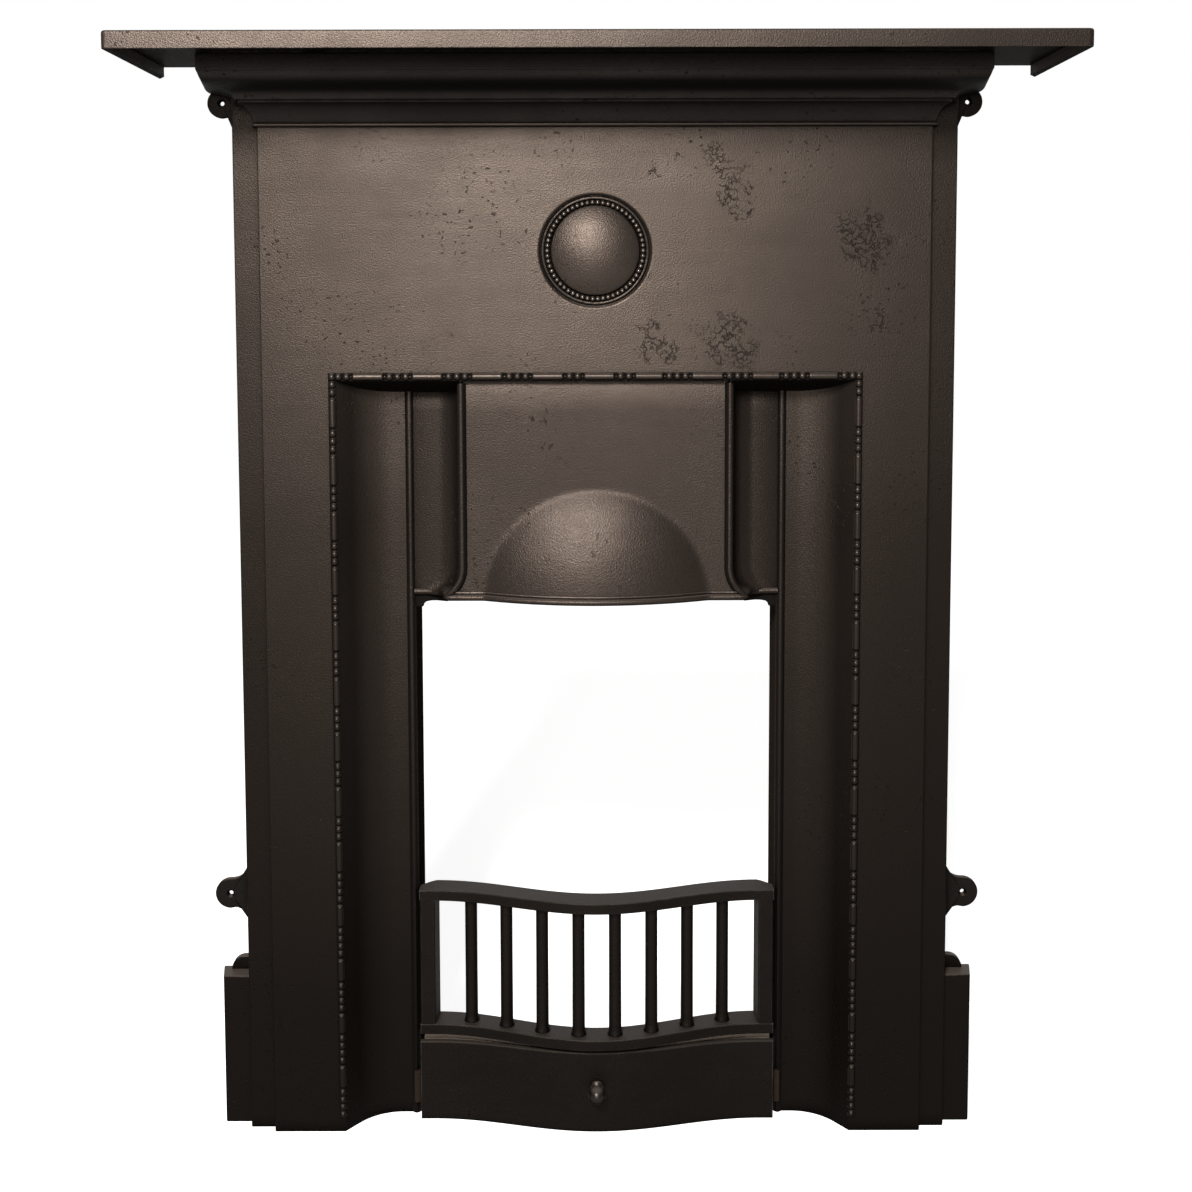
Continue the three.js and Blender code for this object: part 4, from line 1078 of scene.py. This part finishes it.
points, faces = turned(boss_outline(), (0, 0, BOSS_HEIGHT), sides=ROUND)
boss = face_the_front(piece("boss", points, faces, front_iron, node="surround", sharp=math.radians(60)))
shell(boss, BOSS_WALL)
beads = []
for i in range(BEAD_COUNT):
    t = 2 * math.pi * i / BEAD_COUNT
    spot = (BEAD_CIRCLE * math.cos(t), -0.1, BOSS_HEIGHT + BEAD_CIRCLE * math.sin(t))
    beads.append(ball(spot, BOSS_BEAD))
points, faces = gather(*beads)
piece("boss_beads", points, faces, bead_iron, node="surround")


def washer(inner, outer, low, high):
    """A flat ring round the middle of the boss."""
    outline = [(outer, low), (outer, high), (inner, high), (inner, low), (outer, low)]
    return turned(outline, (0, 0, BOSS_HEIGHT), sides=ROUND)


# Two black rings of painted shade, in the groove and in the channel.
points, faces = gather(washer(39.3, 44.5, -2.35, -1.5), washer(47.0, 47.6, -1.9, -1.3))
piece("boss_shade_rings", points, faces, shade_black_iron, node="surround")
print("boss:", BEAD_COUNT, "beads on a circle of", BEAD_CIRCLE, "mm")

# %% [markdown]
# ## The bead and reel
#
# A string of beads and long reels frames the opening. On the real casting the string stands half
# proud of the panel. It can be made as a tube whose radius changes along its length: it swells into
# a ball for each bead, stays full for the length of a reel, and pinches to a thread between them.
# The places are not quite regular, because the pattern was carved by hand, so they are listed. Under
# the string lies a thin black bed of painted shade that outlines each bead.

# %% Stations of beads and reels
TRIM_X = 230.8
TRIM_Z = 687.0
TRIM_RADIUS = 3.3
THREAD = 0.9
BEAD_HALF = 3.45
REEL_ROUND = 2.6
REEL_GAP = 1.2


def bead_stations(middle):
    """Places and radii along one bead."""
    turns = [math.pi * i / 8 for i in range(9)]
    return [(middle - BEAD_HALF * math.cos(t), max(TRIM_RADIUS * math.sin(t), THREAD)) for t in turns]


def reel_stations(start, end):
    """Places and radii along one reel, which has quarter-round ends."""
    turns = [math.pi / 2 * i / 4 for i in range(5)]
    head = [(start + REEL_ROUND * (1 - math.cos(t)), max(TRIM_RADIUS * math.sin(t), THREAD)) for t in turns]
    tail = [(end - REEL_ROUND * (1 - math.sin(t)), max(TRIM_RADIUS * math.cos(t), THREAD)) for t in turns]
    return head + tail


print("a reel:", len(reel_stations(0.0, 28.0)), "stations")

# %% [markdown]
# The string across the top is listed bead by bead. Up the sides, beads come in groups of three, and
# nearer the floor in groups of four, with one reel between groups. One side is made and mirrored, and
# a slightly larger bead sits on each corner.

# %% Bead and reel
TOP_BEADS = [-225.2, -218.0, -180.4, -173.3, -166.1, -128.4, -121.3, -114.2, -75.5, -68.3, -61.1]
TOP_BEADS += [-22.7, -15.5, 22.1, 29.3, 64.7, 71.8, 78.9, 117.4, 124.6, 131.8, 167.0, 174.2, 181.4]
TOP_BEADS += [218.0, 225.2]
TOP_REELS = [(-213.7, -185.0), (-161.5, -133.0), (-109.4, -80.5), (-56.3, -27.3), (-10.9, 17.5)]
TOP_REELS += [(33.9, 60.0), (83.6, 112.7), (136.4, 162.3), (186.1, 213.3)]
GROUPS_OF_THREE = [637.1, 586.3, 537.2, 488.3, 438.3, 388.5, 338.5, 288.1]
GROUPS_OF_FOUR = [237.4, 187.1, 136.3, 87.4, 36.6]
PITCH = 6.9


def across_string():
    stations = [s for bead in TOP_BEADS for s in bead_stations(bead)]
    stations += [s for reel in TOP_REELS for s in reel_stations(*reel)]
    stations.sort()
    return tube([(x, 0, TRIM_Z) for x, _ in stations], [r for _, r in stations])


def upright_string():
    starts = [(z, 3) for z in GROUPS_OF_THREE] + [(z, 4) for z in GROUPS_OF_FOUR]
    stations = bead_stations(TRIM_Z - PITCH) + bead_stations(TRIM_Z - 2 * PITCH)
    above = TRIM_Z - 2 * PITCH
    for start, count in starts:
        stations += reel_stations(start + BEAD_HALF + REEL_GAP, above - BEAD_HALF - REEL_GAP)
        for k in range(count):
            stations += bead_stations(start - k * PITCH)
        above = start - (count - 1) * PITCH
    stations.sort()
    return tube([(TRIM_X, 0, z) for z, _ in stations], [r for _, r in stations])


upright = upright_string()
corner = ball((TRIM_X, 0, TRIM_Z), TRIM_RADIUS + 0.4)
points, faces = gather(across_string(), upright, mirrored(upright), corner, mirrored(corner))
piece("bead_and_reel", points, faces, trim_iron, node="surround", sharp=math.radians(75))
# The black bed is painted shade round the beads.
BED = 3.45
BED_FOOT = 24.0
inner_x, inner_z = OPENING_HALF + 0.1, OPENING_TOP + 0.1
outer_x, outer_z = TRIM_X + BED, TRIM_Z + BED
bed_line = [(inner_x, BED_FOOT), (inner_x, inner_z), (-inner_x, inner_z), (-inner_x, BED_FOOT)]
bed_line += [(-outer_x, BED_FOOT), (-outer_x, outer_z), (outer_x, outer_z), (outer_x, BED_FOOT)]
points, faces = prism(bed_line, "y", -0.3, 1.0)
piece("bead_bed", points, faces, shade_black_iron, node="surround")
groups = len(GROUPS_OF_THREE + GROUPS_OF_FOUR)
print("bead and reel:", len(TOP_BEADS), "beads across,", groups, "groups up each side")

# %% [markdown]
# ## Jamb rolls
#
# A thin roll runs up the inner edge of each jamb, with a black line on both sides of it. On the real
# casting that line is the shade in a narrow groove. Cutting such a groove into the skin would need
# many faces for a line of one millimetre. A thicker black tube, sunk behind the roll until only its
# flanks show, gives the same line as painted shade.

# %% Jamb rolls
JAMB_ROLL = 2.6
JAMB_GROOVE = 4.3
ROLL_SIDES = 16
ROLL_HEIGHTS = [0.3, 170.0, 340.0, 510.0, soffit_height(COVE_DEPTH) + 0.5]

roll_line = [(RETURN_HALF + 1.6, COVE_DEPTH, z) for z in ROLL_HEIGHTS]
jamb_roll = tube(roll_line, [JAMB_ROLL] * len(roll_line), ROLL_SIDES)
points, faces = gather(jamb_roll, mirrored(jamb_roll))
piece("jamb_rolls", points, faces, front_iron, node="surround")
# Black tubes of painted shade beside the rolls.
groove_line = [(RETURN_HALF + 1.8, COVE_DEPTH + 2.0, z) for z in ROLL_HEIGHTS]
jamb_groove = tube(groove_line, [JAMB_GROOVE] * len(groove_line), ROLL_SIDES)
points, faces = gather(jamb_groove, mirrored(jamb_groove))
piece("jamb_grooves", points, faces, shade_black_iron, node="surround")
print("jamb rolls:", 2 * JAMB_ROLL, "mm thick")

# %% [markdown]
# ## Plinth blocks
#
# At the foot of each side a plinth block stands out, where a skirting board would meet the casting.
# It is an open box of iron with a lid, so two walls and a lid are drawn and thickened. A
# quarter-round shoulder stands on it against the wall.

# %% Plinth blocks
BLOCK_SIDE = STRIP_HALF + 25.0
BLOCK_STEP = 16.0
BLOCK_HEIGHT = 138.5
BLOCK_DRAFT = 5.0
SHOULDER = 12.0
SHOULDER_DEPTH = 8.0

block_root = STRIP_HALF - 3
block_line = [(block_root, BLOCK_STEP), (BLOCK_SIDE, BLOCK_STEP), (BLOCK_SIDE + BLOCK_DRAFT, WALL_PLANE)]
lid_line = block_line + [(block_root, WALL_PLANE)]
block_rows = [[(x, y, z) for x, y in block_line] for z in (0.0, 45.0, 90.0, BLOCK_HEIGHT)]
block_lid = ([(x, y, BLOCK_HEIGHT) for x, y in lid_line], [(0, 1, 2, 3)])
block = gather(grid(block_rows), block_lid)
points, faces = gather(block, mirrored(block))
blocks = face_the_front(piece("plinth_blocks", points, faces, front_iron, node="surround"))
shell(blocks, IRON, bevel=1.3)
shoulder_root = STRIP_HALF + 2
shoulder_x = SIDE_BACK + 2
shoulder_line = [(shoulder_root, BLOCK_HEIGHT - 3), (shoulder_x + SHOULDER, BLOCK_HEIGHT - 3)]
shoulder_line += arc(shoulder_x, BLOCK_HEIGHT, SHOULDER, 0, 90, 10)
shoulder_line += [(shoulder_root, BLOCK_HEIGHT + SHOULDER)]
shoulder = prism(shoulder_line, "y", WALL_PLANE - SHOULDER_DEPTH, WALL_PLANE)
points, faces = gather(shoulder, mirrored(shoulder))
soften(piece("plinth_shoulders", points, faces, front_iron, node="surround"), 0.8, 2)
print("plinth blocks:", BLOCK_HEIGHT, "mm high")

# %% [markdown]
# ## Baked cheeks
#
# The inner faces of the returns stand beside the fire. They are baked dry and brown and mirror
# nothing. Polished like the front they would mirror the white room as two pale stripes, because any
# metal shines at a low angle. A thin skin in an iron without gloss lies over them.

# %% Baked cheeks
CHEEK_TOP = 668.0
CHEEK_PROUD = 0.35

cheek_inner, cheek_outer = RETURN_HALF - CHEEK_PROUD, RETURN_HALF + 1.0
cheek_front, cheek_back = COVE_DEPTH + 2.0, RETURN_BACK - 0.3
cheek_line = [(cheek_inner, cheek_front), (cheek_outer, cheek_front)]
cheek_line += [(cheek_outer, cheek_back), (cheek_inner, cheek_back)]
cheek = prism(cheek_line, "z", 0.4, CHEEK_TOP)
points, faces = gather(cheek, mirrored(cheek))
soften(piece("baked_cheeks", points, faces, baked_iron, node="surround"), 0.1, 1)
print("baked cheeks:", CHEEK_TOP, "mm high")

# %% [markdown]
# ## Wall lugs
#
# Four flat lugs hold the casting to the wall. Their screw holes are countersunk: a cone at the front
# and a smaller hole behind. A lug is flat with one hole, so it can be built as rows that run from the
# back, over the outer edge, into the cone and out at the back again, once round the hole.

# %% Wall lugs
LUG_BACK = WALL_PLANE
LUG_FRONT = WALL_PLANE - 5.0
LOWER_LUG = {"x": 337.6, "z": 208.6, "radius": 14.0, "up": 25.0, "down": 26.0}
UPPER_LUG = {"x": 331.0, "z": 928.5, "radius": 13.0, "up": 8.0, "down": 27.0}
LUG_ROOT = 320.0


def lug_outline(x, z, radius, up, down):
    def bend(start, pull, end, steps=8):
        done = []
        for i in range(steps + 1):
            t = i / steps
            a = start[0] * (1 - t) ** 2 + 2 * pull[0] * t * (1 - t) + end[0] * t * t
            b = start[1] * (1 - t) ** 2 + 2 * pull[1] * t * (1 - t) + end[1] * t * t
            done.append((a, b))
        return done

    chin = (x - radius / 3, z - 0.94 * radius)
    lower = bend((LUG_ROOT, z - down), (LUG_ROOT + radius / 4, z - radius), chin)
    nose = arc(x, z, radius, -90, 90, 20)
    upper = bend((x, z + radius), (LUG_ROOT + 5, z + radius), (LUG_ROOT + 2, z + up))
    root = [(LUG_ROOT, z + up + (i / 8) * (-down - up)) for i in range(1, 8)]
    return lower + nose + upper[1:] + root


def lug(x, z, radius, up, down):
    rows = []
    for a, b in lug_outline(x, z, radius, up, down):
        turn = math.atan2(b - z, a - x)
        reach = math.hypot(a - x, b - z)

        def spot(r, y):
            return (x + r * math.cos(turn), y, z + r * math.sin(turn))

        rows.append([
            spot(2.0, LUG_BACK),
            spot(reach, LUG_BACK),
            spot(reach, LUG_FRONT + 1.2),
            spot(reach - 0.35, LUG_FRONT + 0.35),
            spot(reach - 1.2, LUG_FRONT),
            spot(4.0, LUG_FRONT),
            spot(3.5, LUG_FRONT + 0.3),
            spot(1.9, LUG_FRONT + 2.6),
        ])
    rows.append(rows[0])
    return grid(rows, closed=True)


lower_lug = lug(**LOWER_LUG)
upper_lug = lug(**UPPER_LUG)
points, faces = gather(lower_lug, mirrored(lower_lug), upper_lug, mirrored(upper_lug))
piece("wall_lugs", points, faces, lug_iron, node="surround", sharp=math.radians(50))
print("lugs: 4, with holes of 4.4 mm behind the countersink")

# %% [markdown]
# ## Catches, stops and shelf lugs
#
# Three small things are cast on the inside, where the parts meet: a catch on each return for the
# grate's hook, a stop behind each end of the cover, and a lug under the top for each shelf bolt.
# They are plain blocks on the real casting too, so each is its side view pushed out straight, with
# the edges softened as by the mould. The shelf has a round boss over each of those lugs.

# %% Catches, stops and shelf lugs
CATCH_TOP = 165.7
catch_line = [(55.0, 147.7), (59.0, 139.7), (63.0, 139.7), (63.0, CATCH_TOP), (55.0, CATCH_TOP)]
CATCH_REACH = 152.0

catch = prism(catch_line, "x", CATCH_REACH, RETURN_HALF + 3)
stop_line = [(26.3, 12.0), (34.3, 12.0), (34.3, 42.0), (26.3, 42.0)]
stop = prism(stop_line, "x", CATCH_REACH, RETURN_HALF + 3)
shelf_lug = prism([(225.0, -28.0), (255.0, -28.0), (255.0, 12.0), (225.0, 12.0)], "z", 940.0, 946.0)
points, faces = gather(catch, mirrored(catch), stop, mirrored(stop), shelf_lug, mirrored(shelf_lug))
soften(piece("inner_lugs", points, faces, baked_iron, node="surround"), 0.9)
shelf_boss_outline = [(0, 0), (8.4, 0), (9.0, 0.6), (9.0, 15.0), (0, 15.0)]
shelf_boss = turned(shelf_boss_outline, (240, -5, 946.3), (0, 0, 1), 40)
points, faces = gather(shelf_boss, mirrored(shelf_boss))
piece("shelf_bosses", points, faces, shelf_iron, node="mantel_shelf")
print("inner lugs: 6")

# %% [markdown]
# ## The hood
#
# The hood is the plate in the top of the opening. A flat middle stands forward of two recessed
# flanks, with a cove between, and a half-dome swells out of the flat like a shell. One grid of
# points can carry all of it: each row is the hood's plan line at one height, and the dome is added
# to the flat. The rows turn outwards at the bottom with the rolls. The dome starts softly, since a
# cast form has no perfectly sharp rim.

# %% Hood
HOOD_FACE = 6.5
HOOD_WALL = 5.0
HOOD_BOTTOM = 487.0
HOOD_ROLL = 118.6
HOOD_TURN = 517.0
HOOD_TURN_RADIUS = 30.0
HOOD_COVE = 24.0
HOOD_HALF = 165.6
BULGE_HALF = 99.0
BULGE_RISE = 98.0
BULGE_DEPTH = 24.0
BULGE_SOFTNESS = 0.0012
BULGE_POWER = 0.95
MOST_DROP = 26.0  # the curve of the rolls stops short of its quarter turn


def roll_at(z):
    """How far the roll is from the middle at this height."""
    drop = min(max(HOOD_TURN - z, 0), MOST_DROP)
    return HOOD_ROLL + HOOD_TURN_RADIUS - math.sqrt(HOOD_TURN_RADIUS ** 2 - drop ** 2)


def bulge(x, z):
    """How far the half-dome stands out from the flat."""
    inside = 1 - (x / BULGE_HALF) ** 2 - ((z - HOOD_BOTTOM) / BULGE_RISE) ** 2
    soft = (inside + math.sqrt(inside * inside + BULGE_SOFTNESS)) / 2
    return BULGE_DEPTH * max(soft, 0.0) ** BULGE_POWER


def hood_row(z):
    """The hood's plan line at one height, from end to end."""
    roll_x = roll_at(z)
    reach = min(HOOD_COVE, HOOD_HALF - 2 * HOOD_WALL - roll_x)
    right = []
    for i in range(45):
        x = roll_x * i / 44
        right.append((x, HOOD_FACE - bulge(x, z), z))
    for i in range(1, 11):
        t = math.pi / 2 * i / 10
        deep = HOOD_FACE + (COVE_DEPTH - HOOD_FACE) * math.sin(t)
        right.append((roll_x + reach * (1 - math.cos(t)), deep, z))
    right.append((HOOD_HALF, COVE_DEPTH, z))
    left = [(-x, y, z) for x, y, z in right[1:]][::-1]
    return left + right


hood_heights = [HOOD_BOTTOM + 101 * i / 52 for i in range(53)] + [605.0, 640.0, 655.0]
hood_rows = [hood_row(z) for z in hood_heights]
top_row = []
for x, y, z in hood_row(OPENING_TOP):
    under = OPENING_TOP if abs(x) < HOOD_ROLL + 0.1 else soffit_height(y)
    top_row.append((x, y, under - 0.3))
points, faces = grid(hood_rows + [top_row])
hood = face_the_front(piece("hood_plate", points, faces, hood_iron, node="hood", sharp=math.radians(50)))
shell(hood, HOOD_WALL, even=False)
print("hood:", len(hood.data.polygons), "faces")

# %% [markdown]
# Rolls outline the hood: one up each side of the flat that turns out at its foot, one along the
# flank, and one along the bottom edge that follows the dome forward, with a fine thread above it.
# They are tubes along the same plan lines as the plate, so they lie on it wherever it bends. Where a
# roll dies away into the plate, its radius runs out to almost nothing.

# %% Hood rolls
ROLL = 3.0
FLANK = 490.4
THREAD_UP = 4.4

roll_bottom = HOOD_BOTTOM + 2.8
foot_x = roll_at(roll_bottom)
upright_heights = [OPENING_TOP - 2.6, 640.0, 600.0, 560.0, 530.0]
upright_heights += [HOOD_TURN - (HOOD_TURN - 491.0) * i / 12 for i in range(13)]
upright_line = [(roll_at(z), HOOD_FACE, z) for z in upright_heights]
upright_line.append((foot_x + 1.8, HOOD_FACE + 1.0, 490.0))
upright_roll = tube(upright_line, [ROLL] * (len(upright_line) - 3) + [2.6, 2.0, 1.0], 14)
flank_line = [(HOOD_HALF - 1.0, COVE_DEPTH, FLANK), (152.0, COVE_DEPTH, FLANK)]
flank_line += [(148.0, COVE_DEPTH, 490.0), (143.5, 32.6, 489.0)]
flank_roll = tube(flank_line, [2.7, 2.6, 1.9, 0.4], 14)
edge = [p for p in hood_row(roll_bottom) if abs(p[0]) <= foot_x + 0.1]
edge_roll = tube(edge, [1.6] + [2.7] * (len(edge) - 2) + [1.6], 14)
thread_z = roll_bottom + THREAD_UP
thread = [(x, y - 0.2, z) for x, y, z in hood_row(thread_z) if abs(x) <= roll_at(thread_z) - 2]
thread_roll = tube(thread, [0.9] * len(thread), 8)
rolls = [upright_roll, mirrored(upright_roll), flank_roll, mirrored(flank_roll), edge_roll, thread_roll]
points, faces = gather(*rolls)
piece("hood_rolls", points, faces, hood_iron, node="hood")
print("hood rolls:", len(edge), "points along the edge")

# %% [markdown]
# The upright rolls get the same black line of painted shade as the jambs, from a thicker tube sunk
# behind them. Behind the plate, a flange on each side takes the bolts through the return. At the bottom
# corners the hood shows its thickness as a lip in black painted shade, with a rounded corner over the fire.

# %% Hood grooves, flanges and lips
# Black tubes of painted shade beside the upright rolls.
groove_line = [(x - 0.7, y + 1.5, z) for x, y, z in upright_line[:-3]]
hood_groove = tube(groove_line, [4.2] * (len(groove_line) - 2) + [3.8, 2.6], 14)
points, faces = gather(hood_groove, mirrored(hood_groove))
hood_grooves = piece("hood_grooves", points, faces, shade_black_iron, node="hood")
flange_line = [(35.5, 494.0), (76.0, 494.0), (76.0, 592.0), (35.5, 592.0)]
flange = prism(flange_line, "x", HOOD_HALF - HOOD_WALL, HOOD_HALF)
points, faces = gather(flange, mirrored(flange))
soften(piece("hood_flanges", points, faces, hood_iron, node="hood"), 0.8)
# The lips are black as painted shade.
lip_line = [(foot_x + 1.0, 492.0), (foot_x + 1.0, 480.8), (138.5, 481.2), (144.5, 481.8), (149.5, 481.7)]
lip_line += [(154.0, 480.9), (156.0, 479.2), (157.0, 476.2), (HOOD_HALF, 476.2), (HOOD_HALF, 492.0)]
lip = prism(lip_line, "y", COVE_DEPTH + 1.5, COVE_DEPTH + HOOD_WALL)
points, faces = gather(lip, mirrored(lip))
hood_lips = piece("hood_lips", points, faces, shade_black_iron, node="hood")
soften(hood_lips, 0.6)
print("hood flanges:", HOOD_WALL, "mm thick")

# %% [markdown]
# ## The grate front
#
# The grate front bows out towards the room and back in at its ends. The bow is one wave of a cosine,
# so it starts and ends straight. A rail is a rounded block section carried along it. A straight bar
# could be bent with a modifier, but then the joints with the stiles would move too. Near the ends the
# section gets shallower, which makes the cut rear corners.

# %% Bows and rails
FRONT_HALF = 162.5
FRONT_TOP = 215.0
FRONT_BOTTOM = 78.5
FRONT_ENDS = 24.5
FRONT_BOW = 32.4
FRONT_DEPTH = 26.0
RAIL = 10.0
STILE = 14.0
CUT = 12.0
BOW_HALF = 150.0
BAR_COUNT = 8
BAR_PITCH = 33.1


def bowed(x, ends, bow):
    """The bow seen from above: straight at the ends and furthest forward in the middle."""
    return ends - bow * (1 + math.cos(math.pi * min(abs(x), BOW_HALF) / BOW_HALF)) / 2


def block_section(front, back, bottom, top, edge):
    """A rectangle in depth and height with rounded corners."""
    section = arc(front + edge, bottom + edge, edge, 180, 270, 4)
    section += arc(back - edge, bottom + edge, edge, 270, 360, 4)
    section += arc(back - edge, top - edge, edge, 0, 90, 4)
    section += arc(front + edge, top - edge, edge, 90, 180, 4)
    return section


def bowed_bar(half, ends, bow, front, depth, bottom, top, edge=1.1, cut=0.0):
    """A rail that follows the bow. A cut takes its rear corners off at the ends."""
    steps = 72
    rows = []
    for i in range(steps + 1):
        x = half * (2 * i / steps - 1)
        behind = depth - max(0.0, abs(x) - (half - cut)) if cut else depth
        y = bowed(x, ends, bow) + front
        rows.append([(x, a, b) for a, b in block_section(y, y + behind, bottom, top, edge)])
    return solid_between(rows)


print("the bow stands", FRONT_BOW, "mm forward")

# %% [markdown]
# Two rails, a rib under the lower one, eight round bars and two stiles make up the grate front. The
# bars are turned, with a spread foot and a small fillet under the top rail, where the pattern maker
# filled the corner with wax. The rib gets a pale tone as painted light, where light falls on it under
# the rail, and dust lies on its top. The stiles carry the hooks that hang on the catches.

# %% Grate front


def grate_bar(x):
    """A round bar with a spread foot and a small fillet under the top rail."""
    low = FRONT_BOTTOM + RAIL - 1
    high = FRONT_TOP - RAIL + 1
    outline = [(0, low), (7.2, low), (7.2, low + 1.2), (6.8, low + 2.4), (6.3, low + 4.0), (5.9, low + 6.0)]
    outline += [(5.7, low + 9.0), (5.6, low + 40.0), (5.6, high - 6.0), (5.8, high - 2.6)]
    outline += [(6.5, high - 0.8), (6.5, high), (0, high)]
    y = bowed(x, FRONT_ENDS, FRONT_BOW) + FRONT_DEPTH / 2
    return turned(outline, (x, y, 0), (0, 0, 1), 28)


bow = (FRONT_ENDS, FRONT_BOW)
rails = []
for low in (FRONT_TOP - RAIL, FRONT_BOTTOM):
    rails.append(bowed_bar(FRONT_HALF, *bow, 0, FRONT_DEPTH, low, low + RAIL, cut=CUT))
points, faces = gather(*rails)
piece("grate_rails", points, faces, fire_iron, body="fire_front", node="fire_front", sharp=math.radians(50))
points, faces = bowed_bar(FRONT_HALF - 2, *bow, 13.5, 8.0, FRONT_BOTTOM - 12.0, FRONT_BOTTOM + 2.6, edge=1.5)
piece("grate_rib", points, faces, lit_rib_iron, body="fire_front", node="fire_front", sharp=math.radians(50))
bars = [grate_bar((i - (BAR_COUNT - 1) / 2) * BAR_PITCH) for i in range(BAR_COUNT)]
points, faces = gather(*bars)
piece("grate_bars", points, faces, fire_iron, body="fire_front", node="fire_front", sharp=math.radians(50))

inner = FRONT_HALF - STILE
back = FRONT_ENDS + FRONT_DEPTH
stile_line = [(inner, FRONT_ENDS + 0.3), (FRONT_HALF - 0.3, FRONT_ENDS + 0.3), (FRONT_HALF - 0.3, back - CUT)]
stile_line += [(FRONT_HALF - CUT, back - 0.3), (inner - 2, back - 0.3)]
stile = prism(stile_line, "z", FRONT_BOTTOM + 4, FRONT_TOP - 4)
hook_line = [(49.5, 166.0), (63.3, 166.0), (63.3, 152.0), (69.8, 152.0), (69.8, 170.75)]
hook_line += [(66.55, 174.0), (49.5, 174.0)]
hook = prism(hook_line, "x", 150.0, 160.0)
points, faces = gather(stile, mirrored(stile), hook, mirrored(hook))
stiles = piece("grate_stiles", points, faces, fire_iron, body="fire_front", node="fire_front")
soften(stiles, 1.3, 3)
print("grate front:", BAR_COUNT, "bars, pitch", BAR_PITCH, "mm")

# %% [markdown]
# ## The ash pan cover
#
# The cover is a loose plate on the hearth with the same kind of bow. It is the same section along a
# bow as the rails, only tall and thin. Two feet behind keep it upright. They are three-cornered webs,
# pushed out straight from their side view.

# %% Ash pan cover
COVER_HALF = 162.0
COVER_TOP = 74.3
COVER_ENDS = 20.0
COVER_BOW = 22.5
COVER_WALL = 6.0
COVER_FOOT = 92.0

points, faces = bowed_bar(COVER_HALF, COVER_ENDS, COVER_BOW, 0, COVER_WALL, 0.0, COVER_TOP, edge=1.5)
piece("cover_plate", points, faces, fire_iron, body="ashpan_cover", node="ashpan_cover", sharp=math.radians(50))
foot_start = bowed(COVER_FOOT, COVER_ENDS, COVER_BOW) + COVER_WALL / 2
foot_line = [(foot_start, 0.0), (foot_start + 24, 0.0), (foot_start + 24, 3.0), (foot_start, 34.0)]
foot = prism(foot_line, "x", COVER_FOOT - 3, COVER_FOOT + 3)
points, faces = gather(foot, mirrored(foot))
soften(piece("cover_feet", points, faces, fire_iron, body="ashpan_cover", node="ashpan_cover"), 0.8)

print("cover:", 2 * COVER_HALF, "mm wide")

# %% [markdown]
# ## The knob
#
# The knob is a turned form too: a collar, a thin neck and a ball, with a screwed end that goes
# through the plate. Its outline follows the ball from the neck, where the two radii meet, to the tip.

# %% Knob
KNOB_HEIGHT = 42.5
KNOB_NECK = 3.4
KNOB_BALL = 7.8
KNOB_OUT = 14.4

knob_outline = [(0, -15), (2.6, -15), (3.0, -14.5), (3.0, 0), (6.2, 0), (6.4, 0.7), (6.2, 1.6), (5.4, 2.2)]
knob_outline += [(4.2, 2.7), (3.6, 3.4), (KNOB_NECK, 4.6), (KNOB_NECK, 6.6)]
neck_turn = math.acos(KNOB_NECK / KNOB_BALL)
for i in range(14):
    t = -neck_turn + (math.pi / 2 + neck_turn) * i / 14
    knob_outline.append((KNOB_BALL * math.cos(t), KNOB_OUT + KNOB_BALL * math.sin(t)))
knob_outline.append((0, KNOB_OUT + KNOB_BALL))
points, faces = turned(knob_outline, (0, COVER_ENDS - COVER_BOW - 0.3, KNOB_HEIGHT), sides=40)
piece("cover_knob", points, faces, knob_iron, body="ashpan_cover", node="knob", sharp=math.radians(50))
print("knob:", 2 * KNOB_BALL, "mm thick")

# %% [markdown]
# ## The parts behind
#
# The throat plate, its flap and the bolts sit behind the hood, where only a fitter sees them. Their
# solids already have the right form, so they are kept, dressed in rough unpolished iron or dull
# steel, and given soft arrises.

# %% Hidden parts
ROUGH_PARTS = ["throat_plate", "damper_flap"]
STEEL_PARTS = [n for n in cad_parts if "bolt" in n or "nut" in n or n == "damper_pin"]
for node in ROUGH_PARTS + STEEL_PARTS:
    part = bpy.data.objects[node]
    part.data.materials.clear()
    rough = node in ROUGH_PARTS
    part.data.materials.append(back_iron if rough else dull_steel)
    soften(part, 0.7 if rough else 0.4)
print("kept solids:", len(ROUGH_PARTS + STEEL_PARTS))

# %% [markdown]
# ## Even shading
#
# Where a broad flat face meets a small rounding, Blender averages the two directions at the shared
# corner, and the flat face looks pillowy. Weighting each direction by the size of its face keeps
# broad faces flat and leaves the turn to the rounding.

# %% Even shading
dressed = [o for o in scene.objects if o.type == "MESH" and o is not floor]
for made in dressed:
    even_faces = made.modifiers.new("even_shading", "WEIGHTED_NORMAL")
    even_faces.keep_sharp = True
    even_faces.weight = 80
print("pieces shaded evenly:", len(dressed))
